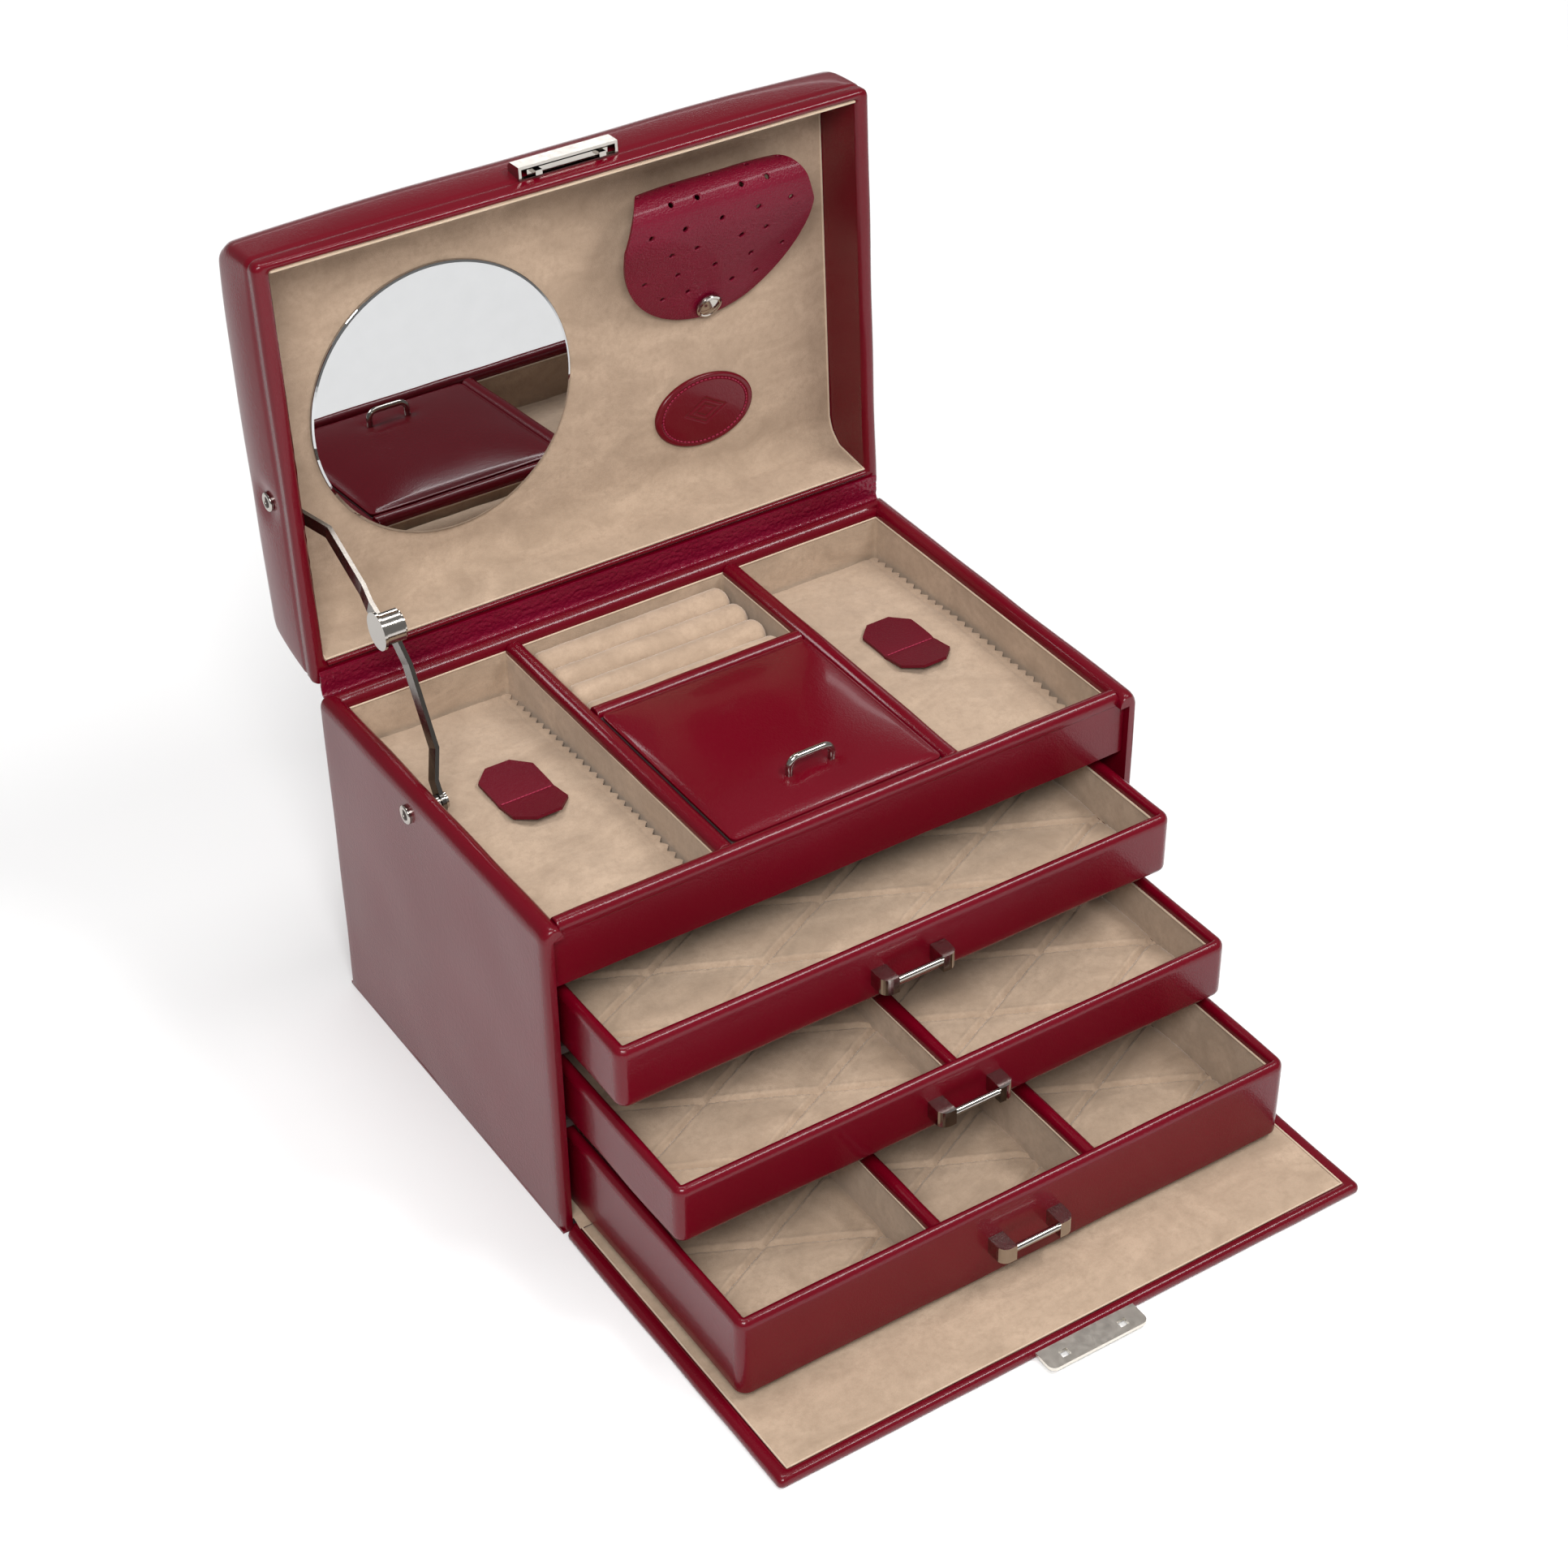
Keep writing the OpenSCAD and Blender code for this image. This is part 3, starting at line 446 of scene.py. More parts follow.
def rect_ring(x0, x1, y0, y1, z, r=1.0, side=20, corner=5):
    """A rounded rectangle's points, anticlockwise from its front left. z is a number or f(x, y)."""
    r = max(min(r, (x1 - x0) / 2 - 0.01, (y1 - y0) / 2 - 0.01), 0.01)
    bends = [((x1 - r, y0 + r), -90), ((x1 - r, y1 - r), 0), ((x0 + r, y1 - r), 90), ((x0 + r, y0 + r), 180)]
    starts = [(x0 + r, y0), (x1, y0 + r), (x1 - r, y1), (x0, y1 - r)]
    ends = [(x1 - r, y0), (x1, y1 - r), (x0 + r, y1), (x0, y0 + r)]
    plan = []
    for (centre, a0), start, end in zip(bends, starts, ends):
        plan += [toward(start, end, i / side) for i in range(side)]
        plan += arc(centre, r, a0, a0 + 90, corner)[:-1]
    height = z if callable(z) else (lambda x, y: z)
    return [(x, y, height(x, y)) for x, y in plan]


def inset_rings(x0, x1, y0, y1, profile, r=3.0, side=20, corner=5):
    """Rings of a rounded rectangle for each (inset, z) of a profile."""
    return [rect_ring(x0 + o, x1 - o, y0 + o, y1 - o, z, max(r - o, 0.3), side, corner)
            for o, z in profile]


def fill_rings(x0, x1, y0, y1, z, count, r=1.0, side=20, corner=5):
    """Rings that shrink from a rectangle to its middle line, for a flat or crowned face."""
    short = min(x1 - x0, y1 - y0) / 2
    rings = []
    for i in range(1, count + 1):
        o = short * i / (count + 0.02)
        rings.append(rect_ring(x0 + o, x1 - o, y0 + o, y1 - o, z, max(r - o, 0.05), side, corner))
    return rings


def run_x(profile, x0, x1, count):
    """A closed (y, z) outline run along X."""
    return loft([[(x, y, z) for y, z in profile] for x in steps(x0, x1, count)])


def run_y(profile, y0, y1, count):
    """A closed (x, z) outline run along Y."""
    return loft([[(x, y, z) for x, z in profile] for y in steps(y0, y1, count)])


def sheet_grid(f, us, vs):
    """A grid of points f(u, v) and its faces."""
    verts = [f(u, v) for v in vs for u in us]
    n = len(us)
    faces = [(j * n + i, j * n + i + 1, (j + 1) * n + i + 1, (j + 1) * n + i)
             for j in range(len(vs) - 1) for i in range(n - 1)]
    return verts, faces


def open_lid(part):
    """Swings points shaped on the shut lid open about the hinge axis."""
    turn = Matrix.Rotation(-LID_OPEN, 4, "X")
    pivot = Vector(HINGE)
    verts, faces = part
    return [tuple(turn @ (Vector(p) - pivot) + pivot) for p in verts], faces


def tube(path, r, closed=False, n=10):
    """A round cord or wire along points, with softly closed ends."""
    count = len(path)
    points = [Vector(p) for p in path]
    rings = []
    for i, p in enumerate(points):
        before = points[(i - 1) % count] if closed or i else p
        after = points[(i + 1) % count] if closed or i < count - 1 else p
        along = (after - before).normalized()
        side = along.cross(Vector((0.13, 0.21, 0.97))).normalized()
        up = side.cross(along)
        rings.append([tuple(p + (side * cos(a) + up * sin(a)) * r) for a in turns(n)])
    if closed:
        rings.append(rings[0])
    return loft(rings, not closed, not closed)


def carry(node, look, bevel):
    """Keeps a CAD node on show, with its own finish and softened edges."""
    obj = bpy.data.objects[node]
    obj.data.materials.clear()
    obj.data.materials.append(look[0])
    if bevel:
        soften(obj, bevel, 35)


def soft(x, y, scale, seed=0.0):
    """Smooth noise from -1 to 1 over a plane, in millimetres."""
    return noise.noise(Vector((x / scale, y / scale, seed)))


# ---- Body ----

def wall_path(o, z, r=2.4, side=46, corner=6):
    """The three walls' plan set in by o, from the front left corner round to the front right."""
    x, back, q = HALF_W - o, HALF_D - o, max(r - o, 0.05)
    plan = [(-x, y) for y in steps(NOSE - HALF_D, back - q, side)]
    plan += arc((-x + q, back - q), q, 180, 90, corner)[1:]
    plan += [(u, back) for u in steps(-x + q, x - q, side)][1:]
    plan += arc((x - q, back - q), q, 90, 0, corner)[1:]
    plan += [(x, y) for y in steps(back - q, NOSE - HALF_D, side)][1:]
    return [(u, v, z) for u, v in plan]


def rim_profile(width, top, skirt):
    """Half-round padded rim from its outer to its inner foot, as (inset, z)."""
    k = width / 9.0
    crown = [(0, 6.0), (0.15, 4.6), (0.75, 2.9), (1.8, 1.45), (3.2, 0.4),
             (4.6, 0), (6.0, 0.15), (7.3, 0.9), (8.3, 2.0), (8.8, 3.2)]
    return [(o * k, top - drop * k) for o, drop in crown] + [(width, top - 4.6 * k), (width, skirt)]


def wall_nose(profile, foot, side):
    """Sections that round off a side wall's front edge, from its tip back."""
    sections = []
    for t in (0.0, 0.25, 0.9, 2.0, 3.2):
        dip = 2.0 * (1 - sqrt(1 - (1 - t / NOSE) ** 2))
        section = []
        for o, z in profile:
            on_rim = z > foot + 0.1
            inset = o + dip * max(1 - o / (RIM if on_rim else WALL), 0.0)
            section.append((side * (HALF_W - inset), t - HALF_D, z - (0.65 * dip if on_rim else 0.0)))
        sections.append(section)
    return sections


def make_walls():
    """The back and side walls in one leather skin with a padded rim, and the piping inside it."""
    skin = [(0, z) for z in steps(1.0, CASE_H - 6.8, 14)]
    foot = CASE_H - 6
    profile = [(0.8, 0.1)] + skin + rim_profile(RIM, CASE_H, foot) + [(WALL, foot), (WALL, 0.1)]
    paths = [wall_path(o, z) for o, z in profile]
    stations = wall_nose(profile, foot, -1) + [[path[i] for path in paths] for i in range(len(paths[0]))]
    stations += wall_nose(profile, foot, 1)[::-1]
    solid("walls", *loft(stations), "case", *CRIMSON,
          ["side_wall_leather", "back_wall_leather"], bevel=0.7, wobble=(0.45, 38))
    path = [(x, y, CASE_H - 5.4) for x, y, z in wall_path(RIM + 0.1, 0) if y > FRONT_HI[1] + 0.4]
    solid("rim_piping", *tube(path, 0.42), "case", *EDGE)


def make_tray_front():
    """The panel in front of the tray, with a roll of leather over its top."""
    y0, y1 = FRONT_LO[1], FRONT_HI[1]
    mid, half = (y0 + y1) / 2, (y1 - y0) / 2
    low = FRONT_LO[2]
    panel = [(y0, z) for z in steps(low, CASE_H - 4.5, 6)] + [(y1, CASE_H - 4.5), (y1, low)]
    solid("tray_front_panel", *run_x(panel, -INNER_X + 0.1, INNER_X - 0.1, 60), "case", *CRIMSON,
          ["tray_front"], bevel=0.4, wobble=(0.3, 34))
    roll = [(y0 + 0.02, CASE_H - 6)]
    roll += [(mid + half * 1.06 * cos(a), CASE_H - 3.6 + 3.6 * sin(a))
             for a in steps(pi, 0, 14)]
    roll += [(y1 - 0.02, CASE_H - 6)]
    solid("tray_front_roll", *run_x(roll, -RIM_X - 0.6, RIM_X + 0.6, 60), "case", *CRIMSON,
          bevel=0.6, wobble=(0.3, 26))
    path = [(x, y1 + 0.35, CASE_H - 5.2) for x in steps(-RIM_X, RIM_X, 60)]
    solid("tray_front_piping", *tube(path, 0.5), "case", *EDGE)


def cap_profile(width, top):
    """Rolled leather over a divider's top, as (across, z)."""
    half = width / 2
    points = [(-half * 1.02, top - 4.6)]
    points += [(half * 1.04 * cos(a), top - 3.4 + 3.4 * sin(a)) for a in steps(pi, 0, 12)]
    return points + [(half * 1.02, top - 4.6)]


def make_dividers():
    """Leather rolls on the two long dividers and the cross divider, each between two pipings."""
    top = DIVIDER_HI[2]
    centre_x = CROSS_HI[0]
    width = DIVIDER_HI[0] - centre_x
    for side, name in ((-1, "left"), (1, "right")):
        mid = side * (centre_x + width / 2)
        profile = [(mid + u, z) for u, z in cap_profile(width, top)]
        solid(f"{name}_divider_roll", *run_y(profile, FRONT_HI[1] + 0.2, RIM_Y - 0.2, 50), "case",
              *CRIMSON, ["long_dividers"] if side < 0 else (), bevel=0.5, wobble=(0.3, 24))
        for edge in (-1, 1):
            x = mid + edge * (width / 2 - 0.1)
            path = [(x, y, top - 4.7) for y in steps(FRONT_HI[1] + 0.5, RIM_Y - 0.5, 50)]
            solid(f"{name}_divider_piping_{'outer' if edge == side else 'inner'}",
                  *tube(path, 0.4), "case", *EDGE)
    mid = (CROSS_LO[1] + CROSS_HI[1]) / 2
    width = CROSS_HI[1] - CROSS_LO[1]
    profile = [(mid + u, z) for u, z in cap_profile(width, top)]
    solid("cross_divider_roll", *run_x(profile, -centre_x + 0.1, centre_x - 0.1, 34), "case",
          *CRIMSON, ["cross_divider"], bevel=0.5, wobble=(0.3, 24))
    for edge, name in ((-1, "front"), (1, "rear")):
        path = [(x, mid + edge * (width / 2 - 0.1), top - 4.7) for x in steps(-centre_x, centre_x, 34)]
        solid(f"cross_divider_piping_{name}", *tube(path, 0.45), "case", *EDGE)


def make_tray_linings():
    """Suede lining of the tray's four compartments."""
    centre_x = CROSS_HI[0]
    side_x = DIVIDER_HI[0]
    front = FRONT_HI[1] + SUEDE
    top = CASE_H - 5.6
    floor = TRAY_Z + SUEDE
    trays = [("left", -RIM_X, -side_x, front, RIM_Y), ("right", side_x, RIM_X, front, RIM_Y),
             ("middle", -centre_x, centre_x, front, CROSS_LO[1]),
             ("ring", -centre_x, centre_x, CROSS_HI[1], RIM_Y)]
    for name, x0, x1, y0, y1 in trays:
        walls = [(-SUEDE, TRAY_Z), (-SUEDE, top)] + [(0.0, z) for z in steps(top, floor + 1.4, 8)]
        rings = inset_rings(x0, x1, y0, y1, walls + [(0.4, floor + 0.5), (1.2, floor)], 1.6, 26)
        rings += fill_rings(x0 + 1.2, x1 - 1.2, y0 + 1.2, y1 - 1.2, floor, 7, 0.5, 26)
        solid(f"{name}_tray_lining", *loft(rings), "case", *BEIGE,
              ["tray_linings"] if name == "left" else (), wobble=(0.35, 18))


def make_ring_rolls():
    """Four stuffed rolls with rounded ends, on their padded base."""
    lo, hi = box_mm("ring_rolls")
    r = 6.8
    count = 4
    pitch = (hi[1] - lo[1] - 2 * r) / (count - 1)
    base = inset_rings(lo[0], hi[0], lo[1], hi[1], [(0.4, lo[2]), (0, lo[2] + 0.6), (0, lo[2] + 9.4)], 1.0)
    base += fill_rings(lo[0], hi[0], lo[1], hi[1], lo[2] + 10, 4)
    solid("ring_roll_base", *loft(base), "case", *BEIGE, ["ring_rolls"])
    for k in range(count):
        y, z = lo[1] + r + k * pitch, hi[2] - r
        rings = []
        for x in arc_steps(lo[0] + 0.3, hi[0] - 0.3, 60):
            end = min(x - lo[0], hi[0] - x)
            q = r * (1 - 0.42 * (1 - min(end / 4.2, 1)) ** 2.2)
            sag = 0.3 * soft(x, k * 31, 16, 2.0)
            rings.append([(x, y + q * 1.03 * cos(a), z + q * 0.99 * sin(a) + sag)
                          for a in turns(40)])
        roll = solid(f"ring_roll_{k + 1}", *loft(rings), "case", *BEIGE, wobble=(0.22, 9))


def make_inner_lid():
    """The inner lid's pillow with its welt, and its wire handle, which dimples the leather."""
    lo, hi = box_mm("inner_lid_pad")
    top = hi[2] + 0.5
    handle_lo, handle_hi = box_mm("inner_lid_handle")
    foot_y = (handle_lo[1] + handle_hi[1]) / 2
    wire = (handle_hi[1] - handle_lo[1]) / 2
    foot_x = handle_hi[0] - wire

    def crown(x, y):
        across = abs(2 * (x - lo[0]) / (hi[0] - lo[0]) - 1)
        along = abs(2 * (y - lo[1]) / (hi[1] - lo[1]) - 1)
        pillow = max((1 - across ** 3.2) * (1 - along ** 3.2), 0.0)
        z = top - 0.9 + 4.4 * pillow + 0.3 * soft(x, y, 30, 5.0)
        for side in (-1, 1):
            z -= 2.4 * exp(-hypot(x - side * foot_x, y - foot_y) / 3.2)
        return z

    side_up = [(1.2, lo[2]), (0.4, lo[2] + 0.2), (0, lo[2] + 0.9), (0.1, lo[2] + 1.7), (0.6, top - 1.6)]
    rings = inset_rings(lo[0], hi[0], lo[1], hi[1], side_up, 3.0, 44)
    for o, dip in ((1.4, 0.5), (2.8, 0.0)):
        rings.append(rect_ring(lo[0] + o, hi[0] - o, lo[1] + o, hi[1] - o,
                               lambda x, y, d=dip: crown(x, y) - d, 1.5, 44))
    rings += fill_rings(lo[0] + 2.8, hi[0] - 2.8, lo[1] + 2.8, hi[1] - 2.8, crown, 26, 1.0, 44)
    pad = solid("inner_lid_padding", *loft(rings), "inner_lid", *CRIMSON, ["inner_lid_pad"])
    edge = rect_ring(lo[0] + 0.9, hi[0] - 0.9, lo[1] + 0.9, hi[1] - 0.9, lo[2] + 0.6, 3.0, 30)
    solid("inner_lid_welt", *tube(edge, 0.7, True), "inner_lid", *CRIMSON)
    bend = 4.0
    high = handle_hi[2] - wire
    path = [(foot_x, foot_y, z) for z in steps(hi[2] - 1.5, high - bend, 6)]
    path += [(u, foot_y, v) for u, v in arc((foot_x - bend, high - bend), bend, 0, 90, 8)[1:]]
    path += [(-u, foot_y, v) for u, v in arc((foot_x - bend, high - bend), bend, 90, 0, 8)]
    path += [(-foot_x, foot_y, z) for z in steps(high - bend, hi[2] - 1.5, 6)][1:]
    solid("handle_wire", *tube(path, wire, n=24), "inner_lid", *NICKEL, ["inner_lid_handle"])
    carry("inner_lid_board", BOARD_AND_SHADE, 0)
    carry("inner_lid_pins", NICKEL, 0)


# ---- Drawers ----

QUILT_W = 82.0
QUILT_D = 40.0
QUILT_AT = (-0.9, -71.0)


def quilt(x, y, drop=0.0):
    """Height of a quilted pad at (x, y): pinched along its two sets of seams."""
    u, v = x - QUILT_AT[0], y + drop - QUILT_AT[1]
    per_mm = hypot(1 / QUILT_W, 1 / QUILT_D)
    away = [abs(a - round(a)) / per_mm for a in (u / QUILT_W + v / QUILT_D, u / QUILT_W - v / QUILT_D)]
    near, other = min(away), max(away)
    height = 1.0 * (1 - exp(-near / 4.0)) * (1 - 0.6 * exp(-other / 6.0))
    height += 0.4 * exp(-((near - 1.9) / 0.8) ** 2) - 1.9 * exp(-(near / 0.85) ** 2)
    height -= 0.8 * exp(-other / 3.0) * exp(-near / 3.0)
    ripple = exp(-near / 4.0) * 0.18 * sin((x - y) / 1.1 + 2.5 * soft(x, y, 6, 6.0))
    return height + ripple + 0.3 * soft(x, y, 8, 3.0)


def make_drawer(number, dividers, shift):
    """One drawer, with dividers at the given x. shift moves its quilt pattern."""
    body = f"drawer_{number}"
    lo, hi = box_mm(f"{body}_box")
    x0, x1, y0, y1, base, top = lo[0], hi[0], lo[1], hi[1], lo[2], hi[2]
    rim, wall, floor = 5.0, 4.2, base + 2.4
    foot = 2.6 if number < 3 else 0.9
    bottom = [(foot * (1 - cos(a)), base + foot * (1 - sin(a))) for a in steps(pi / 2, 0, 5)]
    skin = [(0.0, z) for z in steps(base + foot, top - 4.6, 8)][1:]
    outside = [(30, base)] + bottom + skin + rim_profile(rim, top, top - 4.8)
    rings = inset_rings(x0, x1, y0, y1, outside, 5.0, 44, 8)
    rings += inset_rings(x0, x1, y0, y1, [(wall, top - 4.9), (wall, floor)], 5.0, 44, 8)
    solid(f"{body}_shell", *loft(rings), body, *CRIMSON, [f"{body}_box"],
          wobble=(0.35, 36))
    edge = rect_ring(x0 + rim + 0.2, x1 - rim - 0.2, y0 + rim + 0.2, y1 - rim - 0.2, top - 4.3, 0.8, 50)
    solid(f"{body}_piping", *tube(edge, 0.5, True), body, *EDGE)
    inside = rim + 0.1
    walls = [(wall + 0.05, floor), (wall + 0.05, top - 4.6)]
    walls += [(inside, z) for z in steps(top - 4.6, floor + 0.5, 7)]
    liner = inset_rings(x0, x1, y0, y1, walls, 6.0, 50)
    solid(f"{body}_suede", *loft(liner, False, False), body, *BEIGE, [f"{body}_lining"],
          wobble=(0.3, 14))
    make_quilted_pad(body, x0 + inside, x1 - inside, y0 + inside, y1 - inside, floor + 2.2, shift, dividers)
    for k, x in enumerate(dividers):
        make_drawer_divider(body, k + 1, x, y0 + inside, y1 - inside, floor, top - 4.0)
    carry(f"{body}_pull", NICKEL, 0.35)


def make_quilted_pad(body, x0, x1, y0, y1, top, shift, dividers):
    """A drawer's quilted base, which dips at the walls and the dividers."""
    def point(x, y):
        edge = min(x - x0, x1 - x, y - y0, y1 - y)
        for at in dividers:
            edge = min(edge, max(abs(x - at) - 2.6, 0.0))
        return (x, y, max(top + quilt(x, y, shift) - 1.6 * exp(-edge / 1.6), top - 1.95))

    columns, rows = steps(x0, x1, 340), steps(y0, y1, 210)
    pad = solid(f"{body}_quilted_base", *sheet_grid(point, columns, rows), body, *BEIGE)


def make_drawer_divider(body, number, x, y0, y1, floor, top):
    """A suede web with a leather roll on top and a piping on each side."""
    half = 2.9
    node = f"{body}_divider" if body == "drawer_2" else f"{body}_dividers"
    profile = [(x + u, z) for u, z in cap_profile(2 * half, top)]
    solid(f"{body}_divider_roll_{number}", *run_y(profile, y0, y1, 34), body, *CRIMSON,
          [node] if number == 1 else (), bevel=0.4, wobble=(0.25, 20))
    left, right = x - half + 0.4, x + half - 0.4
    web = [(left, floor), (left, top - 4.4), (right, top - 4.4), (right, floor)]
    solid(f"{body}_divider_suede_{number}", *run_y(web, y0, y1, 34), body, *BEIGE,
          wobble=(0.3, 15))
    for edge, name in ((-1, "left"), (1, "right")):
        path = [(x + edge * (half + 0.05), y, top - 4.5) for y in steps(y0, y1, 34)]
        solid(f"{body}_divider_piping_{number}_{name}", *tube(path, 0.4), body, *EDGE)


# ---- Lid: shaped shut in s (forward from the case's back) and h (up from the rim plane) ----

LID_BACK_TURN = 26.8
LID_FRONT_TURN, LID_FRONT_R = 21.5, 20.0
LID_END_TURN, LID_END_R = 29.2, 14.0


def lid_at(x, s, h):
    """A point of the shut lid in the frame's axes."""
    return (x, HALF_D - s, LID_Z + h)


def lid_back(h):
    """The lid's back face: leaning, then rounded over the top."""
    if h < LID_BACK_TURN:
        return -1.5 + 9.08 * h / LID_BACK_TURN
    return 28.5 - sqrt(max(22.0 ** 2 - (h - 20.0) ** 2, 0.0))


def rounded_face(h, face, turn, r):
    """A face that stands at a distance up to the height turn, then rounds inwards."""
    return face if h < turn else face - r + sqrt(max(r ** 2 - (h - turn) ** 2, 0.0))


def lid_front(h):
    return rounded_face(h, LID_FRONT_S, LID_FRONT_TURN, LID_FRONT_R)


def lid_end(h):
    return rounded_face(h, HALF_W, LID_END_TURN, LID_END_R)


def room_back(h):
    """The back face of the room inside the lid."""
    return 9.5 + 3.8 * min(h, 20.3) / 20.3


def room_front(h):
    """The front face of the room inside the lid."""
    return 182.2 - 10.4 * min(h, 26.2) / 26.2


def lid_ring(x, s0, s1, h, r):
    """A rounded rectangle round the shut lid. h is a height or a function of (x, y)."""
    height = h if callable(h) else (lambda u, v: LID_Z + h)
    return rect_ring(-x, x, HALF_D - s1, HALF_D - s0, height, r, 52, 7)


def swell_lid(p):
    """Swells the lid's end and front faces, and pulls the left end in round its rivet."""
    x, y, z = p
    if HALF_D - y > LID_FRONT_S - 3.0 and z > LID_Z + 2.2:
        share = max(1 - (abs(x) / (HALF_W + 2)) ** 6, 0.0) * max(1 - ((z - LID_Z - 21) / 19.0) ** 2, 0.0)
        y -= 2.6 * share
    if abs(x) < HALF_W - 2.0:
        return x, y, z
    share_y = max(1 - (abs(y) / (HALF_D + 1)) ** 4, 0.0)
    share_z = max(1 - ((z - LID_Z - 22) / 17.0) ** 2, 0.0)
    out = (2.4 - 0.012 * y) * share_y * share_z
    if x < 0:
        away = hypot(y - STAY_LID[0], z - STAY_LID[1])
        out -= 2.4 * exp(-(away / 7.0) ** 2)
    return (x + copysign(out, x), y, z)


def make_lid_shell():
    """The lid's padded leather, from its top down, over the rim and up inside."""
    outer = [LID_H - 0.9 - (LID_H - 3.1) * i / 40 for i in range(41)]
    top = outer[0]
    mid_x = lid_end(top)

    def crown(x, y):
        s = HALF_D - y
        edge = min(mid_x - abs(x), s - lid_back(top), lid_front(top) - s)
        return LID_Z + top + 2.1 * (1 - exp(-max(edge, 0.0) / 7.0)) + 0.25 * soft(x, y, 45, 9.0)

    x0, s0, s1 = lid_end(top), lid_back(top), lid_front(top)
    rings = []
    for k in range(26, 0, -1):
        o = (s1 - s0) / 2 * k / 26.5
        rings.append(lid_ring(x0 - o, s0 + o, s1 - o, crown, max(9.0 - o, 0.3)))
    for h in outer:
        seam = 0.55 * exp(-((h - 6.4) / 0.7) ** 2)
        rings.append(lid_ring(lid_end(h) - seam, lid_back(h) + seam, lid_front(h) - seam, h,
                              3.2 + 5.8 * (h / top) ** 3))
    low = outer[-1]
    for i in range(1, 13):
        t = i / 12
        h = low * (1 - sqrt(1 - (2 * t - 1) ** 2))
        rings.append(lid_ring(HALF_W - (LID_END + 0.7) * t, lid_back(0) + (room_back(0) - lid_back(0)) * t,
                              LID_FRONT_S + (room_front(0) - LID_FRONT_S) * t, h, 3.2 - 1.4 * t))
    for h in steps(2.0, LID_ROOM - 1.0, 12):
        back, front = min(room_back(h), 13.3), max(room_front(h), 171.8)
        rings.append(lid_ring(LID_INNER_X, back - 1.5, front + 1.5, h, 1.8))
    h = LID_ROOM + SUEDE + 0.7
    for k in range(6):
        o = k * 15.0
        rings.append(lid_ring(LID_INNER_X - o, 11.8 + o, 173.3 - o, h, 1.0))
    verts, faces = loft(rings)
    verts = [swell_lid(p) for p in verts]
    solid("lid_shell", *open_lid((verts, faces)), "lid", *CRIMSON, ["lid_leather"],
          wobble=(0.45, 42))
    welt = [lid_at(x, room_back(0) - 1.3, 0.15) for x in steps(0.5 - LID_INNER_X, LID_INNER_X - 0.5, 120)]
    solid("lid_back_welt", *open_lid(tube(welt, 1.25)), "lid", *CRIMSON)


def lining_path(offset):
    """Points [s, h] of the lid's lining from its back edge to its front edge."""
    points = [(room_back(h), h) for h in steps(0.9, 20.3, 7)]
    points += [(14.7, 22.0), (16.6, 24.1), (18.9, 26.0), (21.8, 27.2)]
    points += [(s, LID_ROOM) for s in steps(25.0, 166.5, 56)]
    points += [(169.6, 27.6), (171.3, 26.2)]
    points += [(room_front(h), h) for h in steps(24.6, 0.9, 8)]
    moved = []
    for i, point in enumerate(points):
        a, b = points[max(i - 1, 0)], points[min(i + 1, len(points) - 1)]
        along = Vector((b[0] - a[0], b[1] - a[1])).normalized()
        moved.append((point[0] - along.y * offset, point[1] + along.x * offset))
    return moved


def make_lid_lining():
    """The lid's suede lining, with piping where it meets the leather."""
    outline = lining_path(0.0) + lining_path(0.7)[::-1]
    across = steps(0.2 - LID_INNER_X, LID_INNER_X - 0.2, 100)
    rings = [[lid_at(x, s, h) for s, h in outline] for x in across]
    solid("lid_suede", *open_lid(loft(rings)), "lid", *BEIGE, ["lid_lining"],
          wobble=(0.3, 24))
    for side, name in ((-1, "left"), (1, "right")):
        path = [lid_at(side * (LID_INNER_X - 0.45), s, h) for s, h in lining_path(-0.1)]
        solid(f"lid_piping_{name}", *open_lid(tube(path, 0.45)), "lid", *EDGE)
    edge = lining_path(-0.2)
    for s, name in ((edge[0][0], "back"), (edge[-1][0], "front")):
        path = [lid_at(x, s, 0.9) for x in steps(0.4 - LID_INNER_X, LID_INNER_X - 0.4, 90)]
        solid(f"lid_piping_{name}", *open_lid(tube(path, 0.45)), "lid", *EDGE)


MIRROR_X, MIRROR_S, MIRROR_R = -55.3, 93.5, 59.6
BADGE_X, BADGE_S = 67.9, 49.3


def disc(x, s, levels, n=160):
    """A disc on the lid's lining from (radius, distance off the lining) pairs."""
    rings = [[lid_at(x + r * cos(a), s + r * sin(a), LID_ROOM - out) for a in turns(n)]
             for r, out in levels]
    return open_lid(loft(rings))


def make_mirror():
    r = MIRROR_R
    levels = [(r, -0.1), (r, 1.2), (r - 0.2, 1.4), (r - 1.1, 1.8)]
    solid("mirror", *disc(MIRROR_X, MIRROR_S, levels), "lid", *GLASS, ["lid_mirror"], smooth=False)


def oval_point(a, b, angle, share, out):
    """A point of the badge, at a share of its oval's half sizes a and b."""
    x = BADGE_X + a * share * cos(angle)
    return lid_at(x, BADGE_S + b * share * sin(angle), LID_ROOM - out)


